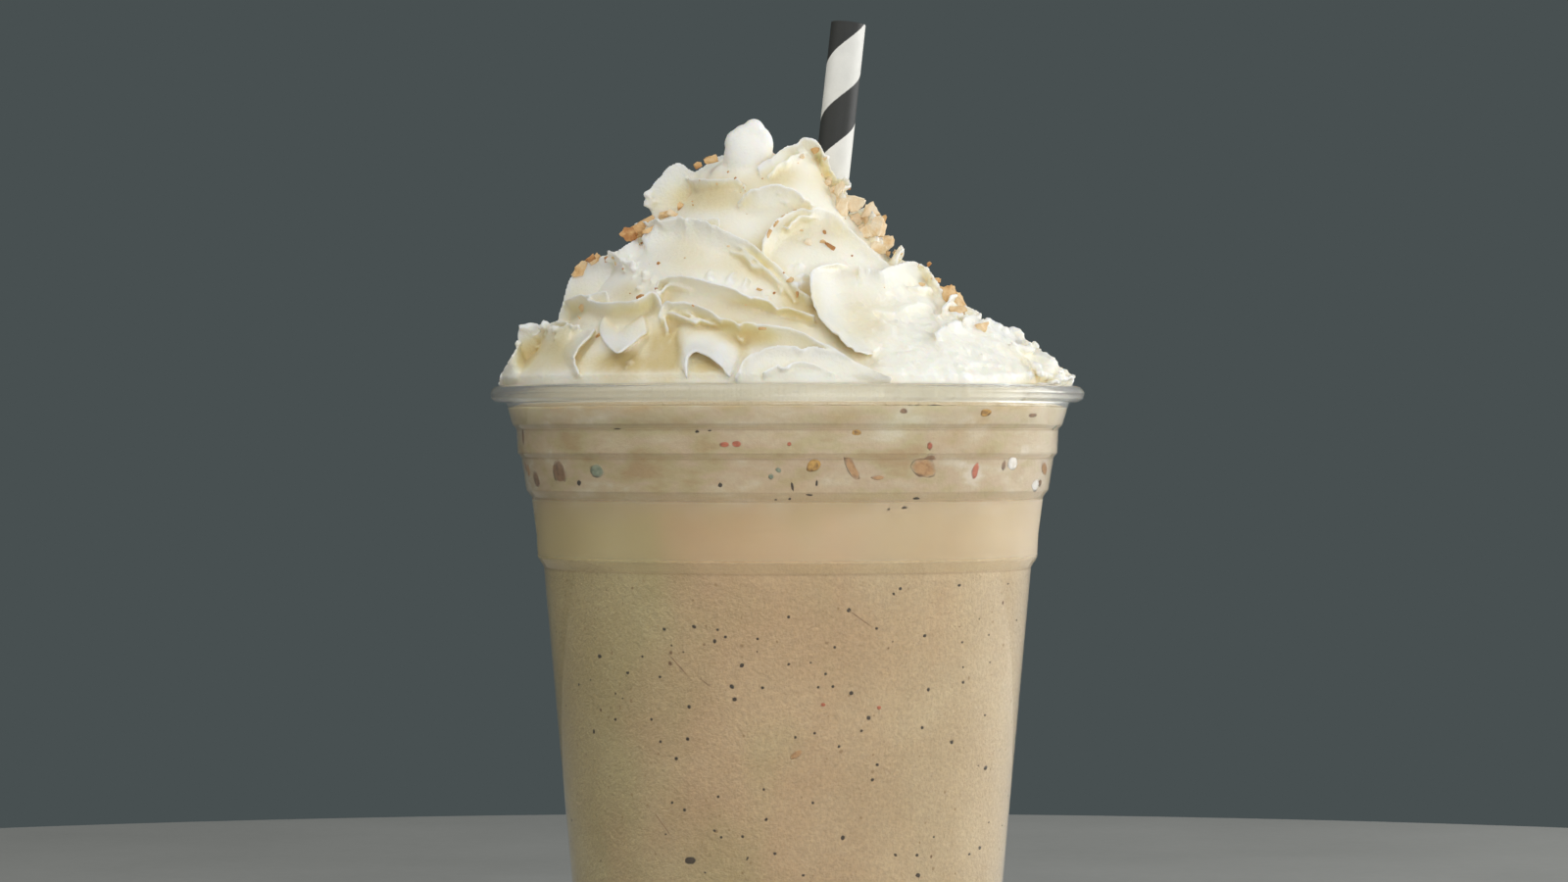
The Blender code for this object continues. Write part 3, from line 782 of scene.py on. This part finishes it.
def spice_bits():
    """Lumps and flecks that press flat against the wall from inside, in one piece for each kind."""
    dice = random.Random(11)
    side = drink_side()
    bits = bits_in_drink(dice, side)
    for kind, (colour, dark, softness) in SPICES.items():
        bm = bmesh.new()
        own_core = bm.verts.layers.float.new("core")
        for angle, z, width, height, turn, own in bits:
            if own != kind:
                continue
            place, axes = on_drink(side, angle, z)
            wider = 1 / max(math.cos(angle), 0.4) if abs(angle) < 1.3 else 1.0
            fineness = 2 if width > 1 else 1
            made = bmesh.ops.create_icosphere(bm, subdivisions=fineness, radius=BIT_RADIUS * MM)
            swing = Matrix.Rotation(math.radians(turn), 3, "Y")
            offset = own_noise(dice)
            for vert in made["verts"]:
                lump = 1 + 0.35 * noise.noise(vert.co / MM * 2.2 + offset)
                local = swing @ Vector((vert.co.x * width * lump, 0, vert.co.z * height * lump))
                local.x *= wider
                local.y = -vert.co.y * BULGE
                vert[own_core] = max(vert.co.y / (BIT_RADIUS * MM), 0)
                vert.co = place + axes @ local
        bmesh.ops.recalc_face_normals(bm, faces=bm.faces)
        piece = new_piece(bm, "spice_" + kind)
        bpy.ops.object.shade_smooth()
        dress(piece, "frappe", spice("spice " + kind, colour, dark, softness))


def core_radius(angle, z):
    heights, lefts, rights = np.array(CREAM_CORE).T
    left, right = np.interp(z, heights, lefts), np.interp(z, heights, rights)
    return (left + right) / 2 + (right - left) / 2 * np.sin(angle)


def on_mound(x, z, reach, view):
    """The points that look x to the side and z high from the direction view, that far out."""
    turn = np.zeros_like(x)
    for _ in range(6):
        radius = np.maximum(core_radius(turn + view, z) + reach, np.maximum(abs(x), 0.01))
        turn = np.arcsin(np.clip(x / radius, -1, 1))
    return np.stack([radius * np.sin(turn + view), -radius * np.cos(turn + view), z], axis=1)


def along(points, t):
    """The points at t, 0 to 1, of a smooth curve through the points."""
    points = np.array(points, dtype=float)
    last = len(points) - 1
    ends = np.vstack([2 * points[0] - points[1], points, 2 * points[-1] - points[-2]])
    x = np.clip(t, 0, 1) * last
    i = np.minimum(x.astype(int), last - 1)
    f = (x - i)[:, None]
    a, b, c, d = ends[i], ends[i + 1], ends[i + 2], ends[i + 3]
    square, cube = 2 * a - 5 * b + 4 * c - d, 3 * b - a - 3 * c + d
    return 0.5 * (2 * b + (c - a) * f + square * f * f + cube * f**3)


def ripple(values, wave, seed, octaves=2):
    """Smooth noise, -1 to 1 or so, along one line."""
    return np.array([noise.fractal(Vector((v / wave, seed, 0.5)), 1.0, 2.0, octaves) for v in values])


def rooted(crest, points, width, root):
    """Where the root lies that belongs to points on a petal's crest."""
    middle = np.mean(crest, axis=0)
    return middle + (points - middle) * width + root


FLARE = 0.2  # how far a thin crest curls outwards


def petal(crest, stands_out, root, width, curl=CURLING, view=0.0, seed=0.0, edge=PETAL_EDGE):
    """One thin curled sheet, from its root in the body out to its torn crest."""
    length = sum(math.dist(a, b) for a, b in zip(crest, crest[1:]))
    steps = max(14, round(length / PETAL_STEP))
    deselect()
    bpy.ops.mesh.primitive_grid_add(x_subdivisions=steps, y_subdivisions=PETAL_ROWS, size=1)
    sheet = bpy.context.object
    flat = points_of(sheet.data)
    u, v = flat[:, 0] + 0.5, flat[:, 1] + 0.5
    column = np.round(u * steps).astype(int)
    run = np.arange(steps + 1) / steps * length
    # the crest is bitten and torn, and the sheet is fluted and pleated
    nicks = np.maximum(ripple(run, 1.8, seed) - 0.22, 0)
    torn = (0.45 * ripple(run, 4.0, seed + 5) - 1.5 * nicks + 0.12 * ripple(run, 0.7, seed + 9))[column]
    folds = 0.5 - 2.2 * abs(ripple(run, 6.5, seed + 40, octaves=1))
    fluted = (0.5 * ripple(run, 7.5, seed + 20, octaves=1) + 0.7 * folds)[column]
    top = along(crest, u)
    start = rooted(crest, top, width, root)
    reach = stands_out * (0.45 + 0.55 * np.sin(np.pi * u)) + fluted
    out = (reach + PETAL_DEPTH) * v**curl - PETAL_DEPTH + FLARE * v**7
    away = (top - start) / np.maximum(np.linalg.norm(top - start, axis=1), 0.1)[:, None]
    at = start + (top - start) * v[:, None] + away * (torn * v**4)[:, None]
    set_points(sheet.data, on_mound(at[:, 0], at[:, 1], out, view) * MM)
    taper = sheet.vertex_groups.new(name="towards the root")
    for i, weight in enumerate((1 - v) ** 1.6):
        taper.add([i], float(weight), "REPLACE")
    modify(
        sheet, "SOLIDIFY", thickness=PETAL_ROOT * MM, offset=0.0, vertex_group=taper.name,
        thickness_vertex_group=edge / PETAL_ROOT,
    )
    apply_all(sheet)
    return sheet


def layers(crest, stands_out, root, width, curl=CURLING, view=0.0, seed=0.0, count=2):
    """Thinner sheets that lie on a petal's face, each along part of its crest and further down."""
    dice = random.Random(round(seed * 10) + 1)
    sheets = []
    for k in range(count):
        start = dice.uniform(0.0, 0.45)
        end = start + dice.uniform(0.3, 0.5)
        drop = dice.uniform(0.18, 0.5)
        part = along(crest, np.linspace(start, end, 5))
        part = part + (rooted(crest, part, width, root) - part) * drop
        part[:, 1] += [dice.uniform(-0.7, 0.7) for _ in part]
        reach = stands_out * (1 - drop) ** 1.3 * 0.9 + 0.5
        lean = (root[0] * 0.5, root[1] * 0.5)
        sheets.append(petal(part.tolist(), reach, lean, 0.9, curl, view, seed + 3.3 * k + 1, 0.4))
    return sheets


def back_petals():
    """The petals round the sides and back, by the part's own rule and seed."""
    dice = random.Random(7)
    tilts = random.Random(23)
    petals = []
    for z, count, stands_out, down in BACK_ROWS:
        for k in range(count):
            view = BACK_FROM + (BACK_TO - BACK_FROM) * (k + 0.5 + dice.uniform(-0.2, 0.2)) / count
            spread = min((BACK_TO - BACK_FROM) / count * dice.uniform(0.55, 0.72), 0.8)
            half = float(core_radius(view, z)) * spread
            rise, lift = dice.uniform(0.1, 2.4), dice.uniform(0.2, 2.2)
            tilt = tilts.uniform(-1, 1) * min(2.6, (z - 120) * 0.35)
            crest = [
                (-half, z - rise - tilt), (-half * 0.6, z + lift - rise - tilt * 0.5),
                (half * 0.2, z + lift + tilt * 0.4), (half, z + rise + tilt),
            ]
            reach = stands_out * dice.uniform(0.85, 1.0)
            values = (crest, reach, (0, -down), 0.85, CURLING, view, dice.uniform(0, 90))
            if z > LOWEST_ROW or k < count - 1:  # the last of the lowest row would cover the left foot
                petals += [petal(*values)] + layers(*values, count=1)
    return petals


MOUND_SIDES, MOUND_CUTS = 96, 40


def mound():
    """The closed body under the petals, made of rings."""
    deselect()
    bpy.ops.mesh.primitive_cylinder_add(vertices=MOUND_SIDES, radius=1, depth=1, end_fill_type="NGON")
    body = bpy.context.object
    bm = bmesh.new()
    bm.from_mesh(body.data)
    sides = [edge for edge in bm.edges if abs(edge.verts[0].co.z - edge.verts[1].co.z) > 0.5]
    bmesh.ops.subdivide_edges(bm, edges=sides, cuts=MOUND_CUTS, use_grid_fill=True)
    low, high = CREAM_CORE[0][0], CREAM_CORE[-1][0]
    for vert in bm.verts:
        z = low + (high - low) * (vert.co.z + 0.5)
        angle = math.atan2(vert.co.x, -vert.co.y)
        radius = float(core_radius(angle, z))
        vert.co = Vector((radius * math.sin(angle), -radius * math.cos(angle), z)) * MM
    bm.to_mesh(body.data)
    bm.free()
    return body


def peak():
    lumps = []
    for x, y, z, half_width, half_depth, half_height in PEAK:
        deselect()
        bpy.ops.mesh.primitive_uv_sphere_add(
            segments=32, ring_count=20, radius=MM, location=(x * MM, y * MM, z * MM),
            scale=(half_width, half_depth, half_height),
        )
        settle(bpy.context.object)
        lumps.append(bpy.context.object)
    return lumps


# Rough white tufts at the front: (x, z, radius of the patch, how many lumps)
TUFTS = [
    (-43.2, 129.6, 1.3, 6), (-40.8, 129.4, 1.3, 5), (-37.8, 129.0, 1.5, 6),
    (-26.2, 139.6, 2.4, 9), (-23.4, 138.0, 2.0, 7), (-21.8, 136.2, 1.2, 4), (0.9, 138.5, 1.4, 5),
    (2.9, 137.5, 1.2, 4), (1.9, 136.0, 1.2, 5), (-12.4, 137.2, 1.0, 3), (-9.6, 136.6, 1.0, 3),
    (-6.6, 135.4, 1.0, 4), (-3.8, 134.6, 1.0, 4), (-24.6, 122.4, 1.6, 4), (12.4, 147.4, 2.0, 6),
    (9.4, 150.4, 1.6, 5), (-22.4, 150.2, 1.2, 5), (-0.8, 151.0, 1.6, 3), (-7.4, 150.8, 1.0, 3),
    (8.2, 158.0, 1.0, 3), (33.0, 130.8, 1.5, 4), (38.0, 129.0, 1.5, 4), (14.0, 144.4, 1.6, 6),
    (8.0, 152.4, 1.4, 5),
]


GRANULES = 240  # small grains on the right slope, which is loose like snow
SLOPE_FROM, SLOPE_TO = 13, 47  # where that slope lies, from the middle out to the right


def tufts(surface):
    """Small lumps in loose patches, where the cream is torn and frothy."""
    dice = random.Random(17)
    places = []
    for x, z, spread, count in TUFTS:
        for _ in range(count):
            at = (x + dice.gauss(0, spread / 2), z + dice.gauss(0, spread / 2))
            places.append((*at, dice.uniform(0.3, 0.75)))
    for _ in range(GRANULES):
        x = dice.uniform(SLOPE_FROM, SLOPE_TO)
        z = dice.uniform(120.5, max(141 - (x - SLOPE_FROM) * 0.55, 121))
        places.append((x, z, 0.16 + 0.34 * dice.random() ** 4))
    bm = bmesh.new()
    for x, z, size in places:
        centre = front_hit(surface, x, z)
        at = Vector((x, -LOOK_FROM if centre else OUTLINE_Y, z))
        centre = centre or near_outline(surface, x, z)
        stretch = Vector([dice.uniform(0.6, 1.4) for _ in range(3)])
        made = bmesh.ops.create_icosphere(bm, subdivisions=2, radius=1)
        for vert in made["verts"]:
            lump = 1 + 0.6 * noise.noise(vert.co * 1.3 + at)
            vert.co = centre + vert.co * stretch * size * MM * lump
    return new_piece(bm, "tufts")


def neighbours_mean(mesh):
    """A function that gives each point the mean of a value over its neighbours."""
    ends = np.empty(len(mesh.edges) * 2, dtype=np.int64)
    mesh.edges.foreach_get("vertices", ends)
    a, b = ends.reshape(-1, 2).T
    count = len(mesh.vertices)
    degree = np.maximum(np.bincount(a, minlength=count) + np.bincount(b, minlength=count), 1)

    def mean(values):
        total = np.bincount(a, values[b], count) + np.bincount(b, values[a], count)
        return total / degree

    return mean


def smoothed(points, mean, rounds):
    for _ in range(rounds):
        points = np.stack([mean(points[:, k]) for k in range(3)], axis=1)
    return points


HOLLOW_REACH = 9.0  # how far cream in front of a point still closes it in
HOLLOW_LOOKS = 14
ASK_EVERY = 5  # only every fifth point looks, and its share is spread to the others
SPREAD_ROUNDS = 18
CREST_ROUNDS = 10  # how often the skin is smoothed to find what stands out of it


def closed_in(piece):
    """The share of looks outwards from each point that meet cream near by."""
    mesh = piece.data
    surface = surface_of(piece)
    points, normals = points_of(mesh), points_of(mesh, "normal")
    dice = random.Random(2)
    looks = [Vector([dice.gauss(0, 1) for _ in range(3)]).normalized() for _ in range(HOLLOW_LOOKS)]
    asked = range(0, len(points), ASK_EVERY)
    shares = []
    for i in asked:
        normal = Vector(normals[i])
        start = Vector(points[i]) + normal * 0.3 * MM
        met = sum(
            surface.ray_cast(start, (normal + 0.9 * look).normalized(), HOLLOW_REACH * MM)[0] is not None
            for look in looks
        )
        shares.append(met / HOLLOW_LOOKS)
    mean = neighbours_mean(mesh)
    known, total = np.zeros(len(points)), np.zeros(len(points))
    known[::ASK_EVERY] = 1
    total[::ASK_EVERY] = shares
    for _ in range(SPREAD_ROUNDS):
        known, total = mean(known) + known, mean(total) + total
    return total / np.maximum(known, 1e-9)


# Patches of painted shade on the front's cream, yellower and darker: (x, z, half width, half height, amount)
SHADE_PATCHES = [
    (-12.5, 150.9, 7.0, 2.8, 0.6), (-1.5, 154.0, 6.5, 2.4, 0.35), (-16.6, 141.0, 4.2, 3.4, 0.35),
    (-6.5, 139.2, 5.5, 3.8, 0.3), (-11.5, 127.6, 8.5, 2.4, 0.35), (-26.6, 135.4, 2.6, 1.8, 0.5),
    (2.6, 133.0, 3.6, 4.8, 0.5), (12.4, 130.0, 4.8, 4.6, 0.3), (-19.2, 124.4, 3.0, 4.6, 0.95),
    (-26.4, 122.6, 4.6, 2.6, 1.0), (-12.4, 122.2, 2.4, 1.8, 0.8), (-40.6, 124.4, 5.0, 4.0, 0.45),
    (-5.0, 127.2, 3.4, 1.6, 0.35), (-9.6, 129.2, 3.4, 0.8, 0.35), (-6.9, 124.6, 1.0, 2.6, 0.5),
    (-36.0, 126.5, 2.6, 4.0, 0.35),
    (-26.5, 130.8, 6.5, 2.6, 0.3), (3.5, 144.5, 7.0, 3.6, 0.22), (-9.0, 132.0, 9.0, 1.8, 0.1),
    (6.8, 153.0, 3.0, 3.0, 0.3), (-33.5, 134.5, 3.0, 4.0, 0.2),
]
# Patches where the front's cream is whiter, as froth and as painted light on faces left in shade: (x, z,
# half width, half height, amount)
FROTH_AND_LIGHT_PATCHES = [
    (-6.4, 160.0, 4.6, 6.5, 0.9), (30.0, 126.5, 15.0, 9.0, 0.3), (-31.0, 136.4, 5.0, 4.4, 0.8),
    (-23.0, 142.5, 5.0, 3.5, 0.5), (-8.0, 144.5, 3.0, 2.5, 0.4),
    (-2.0, 150.4, 5.0, 1.8, 0.8), (-13.6, 126.4, 2.4, 1.6, 0.9), (-26.4, 126.6, 3.4, 1.5, 0.9),
    (-10.2, 124.6, 1.5, 1.9, 0.9), (-8.4, 122.4, 1.2, 1.8, 0.8), (-15.9, 123.4, 0.8, 2.0, 0.7),
    (-27.0, 138.8, 3.6, 2.6, 0.6), (2.0, 137.4, 2.6, 2.0, 0.8), (-42.5, 129.6, 4.0, 2.0, 0.7),
    (0.0, 123.8, 9.0, 2.0, 0.5), (6.2, 134.8, 2.0, 5.0, 0.4), (-17.0, 146.6, 6.0, 1.4, 0.4),
    (-12.0, 135.2, 7.0, 2.6, 0.95), (-14.6, 153.8, 2.6, 2.2, 0.35),
]


def painted(points, patches):
    """How far each point lies in the soft patches, as seen from the front, fading out further back."""
    x, y, z = (points / MM).T
    total = np.zeros(len(points))
    for at_x, at_z, half_x, half_z, amount in patches:
        total += amount * np.exp(-(((x - at_x) / half_x) ** 2 + ((z - at_z) / half_z) ** 2) ** 1.5)
    return total * np.clip((14 - y) / 10, 0, 1)


def mark_tones(piece):
    """Stores how closed in each point is, how far it lies in the patches of painted shade and in those of
    froth and painted light, and how sharp a crest it lies on.
    """
    mesh = piece.data
    mean = neighbours_mean(mesh)
    points, normals = points_of(mesh), points_of(mesh, "normal")
    crest = -((smoothed(points, mean, CREST_ROUNDS) - points) * normals).sum(1) / MM
    marks = {
        "hollow": closed_in(piece), "crest": mean(crest), "shaded_yellow": painted(points, SHADE_PATCHES),
        "white": painted(points, FROTH_AND_LIGHT_PATCHES),
    }
    for name, values in marks.items():
        attribute = mesh.attributes.new(name, "FLOAT", "POINT")
        attribute.data.foreach_set("value", np.clip(values, 0, 1))


LIFTED_FROM = 118.4  # cream over the rim is pressed in below this height, and lifted onto it above


def fit_to_cup(points):
    """Keeps the cream inside the wall up to the rim, and just above the rim outside it."""
    radius = np.hypot(points[:, 0], points[:, 1])
    most, on_rim = (CUP_WALL[0][0] - WALL + INTO_WALL) * MM, (RIM_TOP + 0.05) * MM
    over = (radius > most) & (points[:, 2] < on_rim)
    low = over & (points[:, 2] < LIFTED_FROM * MM)
    points[low, :2] *= (most / radius[low])[:, None]
    points[over & ~low, 2] = on_rim
    points[:, 2] = np.maximum(points[:, 2], (DRINK_LEVEL - 0.1) * MM)
    return points


def lump_at(at, x, y, z):
    """How far the cream's skin stands out at a point: fine all over, coarse on the loose right slope."""
    rough = min(max((x - 4) / 14, 0), 1) * min(max((141 - z) / 6, 0), 1) * (y < 0)
    lump = 0.1 * noise.noise(at / 3.1) + (0.04 + 0.1 * rough) * noise.noise(at / 0.9)
    if rough:
        lump += rough * (0.3 * noise.noise(at / 2.1) + 0.5 * noise.noise(at / 4.6))
    return lump


LAYER_EVERY = 14  # a thinner sheet lies on a front petal for each such stretch that it spans


def cream():
    """The whipped cream: its body, petals, peak and tufts, made one skin."""
    front = []
    for n, values in enumerate(FRONT_PETALS):
        hangs = len(values) > 4
        across = abs(values[0][-1][0] - values[0][0][0])
        count = 0 if hangs else int(across / LAYER_EVERY)
        front += [petal(*values, seed=1.7 * n)] + layers(*values, seed=1.7 * n, count=count)
    body = join([mound()] + front + back_petals() + peak(), "cream")
    piece = join([body, tufts(surface_of(body))], "cream")
    modify(piece, "REMESH", mode="VOXEL", voxel_size=CREAM_VOXEL * MM)
    modify(piece, "SMOOTH", factor=0.5, iterations=1)
    apply_all(piece)
    mesh = piece.data
    points, normals = points_of(mesh), points_of(mesh, "normal")
    lumps = np.array([lump_at(Vector(p), *p) for p in points / MM])
    points += normals * lumps[:, None] * MM
    set_points(mesh, fit_to_cup(points))
    triangles = 2 * len(mesh.polygons)
    if triangles > MOST_TRIANGLES:
        modify(piece, "DECIMATE", ratio=MOST_TRIANGLES / triangles)
        apply_all(piece)
    mark_tones(piece)
    choose(piece)
    bpy.ops.object.shade_smooth()
    dress(piece, "cream", whipped_cream())
    return piece


# Crumbs at the front: (x, z, length, thickness, turn in degrees, tone from pale 0 to browned 1)
CRUMBS = [
    (-23.6, 146.2, 8.4, 3.2, 28, 0.6), (-20.6, 148.0, 4.0, 2.4, 35, 0.4), (-26.2, 144.6, 3.4, 3.0, 10, 0.85),
    (8.2, 152.0, 3.8, 3.2, 60, 0.05), (11.0, 150.2, 4.6, 3.5, 20, 0.1), (9.0, 149.4, 4.2, 3.4, 80, 0.15),
    (13.6, 148.6, 4.6, 3.5, 40, 0.15), (11.6, 147.0, 4.4, 3.6, 0, 0.05), (14.6, 145.6, 4.7, 3.7, 75, 0.15),
    (12.6, 144.6, 4.2, 3.4, 30, 0.1), (16.0, 143.6, 4.0, 3.2, 60, 0.25), (14.4, 142.2, 4.0, 3.2, 15, 0.1),
    (6.6, 153.6, 2.4, 2.0, 20, 0.2), (15.8, 147.2, 2.2, 1.8, 50, 0.6),
    (26.0, 134.6, 4.8, 3.6, 110, 0.6), (28.2, 133.4, 5.0, 4.2, 60, 0.4), (27.4, 131.8, 3.6, 2.8, 20, 0.35),
    (23.3, 140.0, 1.2, 0.8, 60, 0.8), (-14.9, 156.2, 2.2, 1.2, 20, 0.7),
    (3.4, 142.9, 1.9, 1.5, 0, 0.0), (6.9, 142.2, 2.8, 1.2, -35, 0.85), (5.6, 143.0, 1.4, 0.8, 10, 0.5),
    (-34.2, 139.2, 4.0, 2.2, 55, 0.5), (-32.2, 140.9, 2.4, 1.4, 20, 0.85), (4.6, 159.0, 2.0, 1.5, 60, 0.65),
    (-12.6, 157.2, 3.6, 1.8, 12, 0.55),
    (2.2, 157.6, 1.6, 1.0, 0, 0.2), (6.0, 157.4, 1.5, 1.0, 30, 0.3),
    (-23.5, 134.1, 1.9, 1.1, 0, 0.75), (-20.7, 139.6, 0.9, 0.7, 0, 0.9), (-20.9, 135.2, 0.9, 0.6, 0, 0.95),
    (-4.1, 128.6, 1.9, 0.8, -10, 0.7), (-4.4, 134.9, 1.5, 0.7, -20, 0.7), (-2.2, 134.4, 0.9, 0.6, 0, 0.9),
    (-14.8, 132.2, 0.9, 0.6, 0, 0.7), (-30.2, 127.7, 1.2, 0.8, 60, 0.7), (-3.1, 143.9, 2.8, 0.8, 60, 0.6),
    (-1.9, 145.8, 2.2, 0.7, 50, 0.55), (-0.6, 147.2, 2.6, 0.7, 30, 0.55), (1.2, 148.2, 1.8, 0.7, 15, 0.6),
    (0.4, 136.4, 1.6, 1.0, 40, 0.5), (1.6, 134.2, 1.2, 0.8, 80, 0.75),
]


def broken_bit(target, dice, centre, turn, length, thick, tone):
    """One angular bit of biscuit: flat broken sides round random corners, crumbly all over."""
    bm = bmesh.new()
    for _ in range(13):
        corner = Vector([dice.uniform(-1, 1) for _ in range(3)])
        corner /= max(corner.length, 0.8)
        bm.verts.new((corner.x * length / 2, corner.y * thick / 2, corner.z * thick / 2))
    hull = bmesh.ops.convex_hull(bm, input=bm.verts)
    bmesh.ops.delete(bm, geom=hull["geom_interior"], context="VERTS")
    if length > 1.5:
        bmesh.ops.subdivide_edges(bm, edges=bm.edges, cuts=3, use_grid_fill=True)
        bmesh.ops.triangulate(bm, faces=bm.faces)
    offset = own_noise(dice)
    own_tone = target.verts.layers.float.get("tone") or target.verts.layers.float.new("tone")
    copies = {}
    for vert in bm.verts:
        crumbly = 0.22 * noise.noise(vert.co * 1.7 + offset) + 0.1 * noise.noise(vert.co * 4 + offset)
        local = vert.co * (1 + crumbly)
        copies[vert] = target.verts.new(centre + turn @ local * MM)
        copies[vert][own_tone] = min(max(tone + 0.3 * noise.noise(vert.co * 0.9 + offset), 0), 1)
    for face in bm.faces:
        target.faces.new([copies[vert] for vert in face.verts])
    bm.free()


CLUSTER_CRUMBS = 26  # small bits in the pale cluster right of the peak
STREWN_CRUMBS = 250  # bits all round, and how many of them are large, and how many are at the front
LARGE_CRUMBS = 44
FRONT_CRUMBS = 25


def crumbs_on(surface, dice):
    """Every crumb: its centre, turn, length, thickness and tone."""
    placed = []
    for x, z, length, thick, turn, tone in CRUMBS:
        centre = front_hit(surface, x, z)
        if not centre:
            centre = Vector((x * MM, near_outline(surface, x, z).y, z * MM))
        placed.append((centre, Matrix.Rotation(-math.radians(turn), 3, "Y"), length, thick, tone))
    for _ in range(CLUSTER_CRUMBS):
        share = dice.random()
        x, z = 6.6 + 10.4 * share + dice.gauss(0, 0.9), 153.2 - 11.4 * share + dice.gauss(0, 0.9)
        near, turn = near_outline(surface, x, z), any_turn(dice)
        size = dice.uniform(0.9, 2.4)
        placed.append((near, turn, size, size * dice.uniform(0.6, 0.9), dice.uniform(0.0, 0.35)))
    for k in range(STREWN_CRUMBS):
        size = dice.uniform(1.6, 4.2) if k < LARGE_CRUMBS else dice.uniform(0.3, 1.0)
        angle = round_back(dice, 62) if k < STREWN_CRUMBS - FRONT_CRUMBS else dice.uniform(-1, 1)
        z = dice.triangular(122, 160, 146)
        side = Vector((math.sin(angle), -math.cos(angle), 0))
        centre = surface.ray_cast((side * LOOK_FROM + Vector((0, 0, z))) * MM, -side)[0]
        if not centre:
            continue
        turn = any_turn(dice)
        placed.append((centre, turn, size, size * dice.uniform(0.45, 0.8), dice.uniform(0.1, 0.95)))
    return placed


def crumbs(cream_piece):
    """Broken biscuit on the cream: the chunks that show at the front, and more of them all round."""
    dice = random.Random(5)
    bm = bmesh.new()
    for crumb in crumbs_on(surface_of(cream_piece), dice):
        broken_bit(bm, dice, *crumb)
    piece = new_piece(bm, "crumbs")
    bpy.ops.object.shade_smooth_by_angle(angle=math.radians(38))
    dress(piece, "cream", biscuit())


def straw_turn():
    """The straw's turn from upright, with no twist."""
    return Vector((0, 0, 1)).rotation_difference(STRAW_LEAN)


def straw():
    """A paper tube: an open cylinder, given its wall, with softly rounded ends."""
    run = STRAW_LEAN * (STRAW_TOP - STRAW_FOOT.z)
    deselect()
    bpy.ops.mesh.primitive_cylinder_add(
        vertices=72, radius=STRAW_RADIUS * MM, depth=run.length * MM, end_fill_type="NOTHING",
        location=(STRAW_FOOT + run / 2) * MM, rotation=straw_turn().to_euler(),
    )
    piece = bpy.context.object
    piece.name = piece.data.name = "straw"
    settle(piece)
    modify(piece, "SOLIDIFY", thickness=STRAW_WALL * MM, offset=-1)
    modify(piece, "BEVEL", width=0.12 * MM, segments=2, angle_limit=math.radians(50))
    apply_all(piece)
    bpy.ops.object.shade_smooth_by_angle(angle=math.radians(40))
    dress(piece, "straw", striped_paper())


# Studio

FLOOR_RADIUS = 0.556  # its far edge stands where the table ends in the picture
PICTURE_WIDTH = 1600
PICTURE_SHIFT = (-3.5, -10)  # in the picture's pixels
LENS, SENSOR = 99, 36
# Each light: (name, place in metres, size in metres, power, colour)
LIGHTS = [
    ("front light", (0.3, -1.0, 0.32), 0.9, 7.0, (1, 1, 1)),
    ("right light", (1.05, -0.1, 0.35), 0.7, 2.6, (1, 1, 1)),
    ("side light", (0.85, 0.35, 0.35), 0.6, 5.4, (1, 1, 1)),
    ("fill light", (-1.0, -0.35, 0.45), 0.9, 1.8, (1, 0.93, 0.8)),
    ("top light", (-0.35, -0.2, 1.05), 0.8, 4.4, (1, 1, 1)),
]
LIT_POINT = Vector((0, 0, 0.1))  # what the lights point at


def studio():
    """The floor, the even background, the soft lights and the camera."""
    deselect()
    bpy.ops.mesh.primitive_circle_add(vertices=160, radius=FLOOR_RADIUS, fill_type="NGON")
    floor = bpy.context.object
    floor.name = "floor"
    material, net, shader = new_material("pale floor")
    mottle = net.group(GRAIN, Clouds=0.09, Grain=0.004)["Mottle"]
    tone = net.ramp(mottle, (0.4, (152, 152, 148)), (0.9, (164, 164, 160)))
    net.set(shader, Base_Color=tone, Roughness=0.6)
    floor.data.materials.append(material)

    world = bpy.data.worlds.new("studio")
    bpy.context.scene.world = world
    world.use_nodes = True
    background = world.node_tree.nodes["Background"]
    background.inputs["Color"].default_value = srgb(72, 80, 81)
    background.inputs["Strength"].default_value = 1.0

    for name, place, size, power, tint in LIGHTS:
        data = bpy.data.lights.new(name, "AREA")
        data.energy = power
        data.size = size
        data.color = tint
        lamp = bpy.data.objects.new(name, data)
        lamp.location = place
        lamp.rotation_euler = (LIT_POINT - lamp.location).to_track_quat("-Z", "Y").to_euler()
        bpy.context.scene.collection.objects.link(lamp)

    data = bpy.data.cameras.new("camera")
    data.lens = LENS
    data.sensor_width = SENSOR
    data.clip_start = 0.01
    data.shift_x = PICTURE_SHIFT[0] / PICTURE_WIDTH
    data.shift_y = PICTURE_SHIFT[1] / PICTURE_WIDTH
    camera = bpy.data.objects.new("camera", data)
    camera.location = Vector((0, -EYE_DISTANCE, EYE_HEIGHT)) * MM
    camera.rotation_euler = (math.radians(90), 0, 0)
    bpy.context.scene.collection.objects.link(camera)
    bpy.context.scene.camera = camera
    bpy.context.scene.view_settings.view_transform = "Standard"


studio()
cup()
frappe()
spice_bits()
crumbs(cream())
straw()
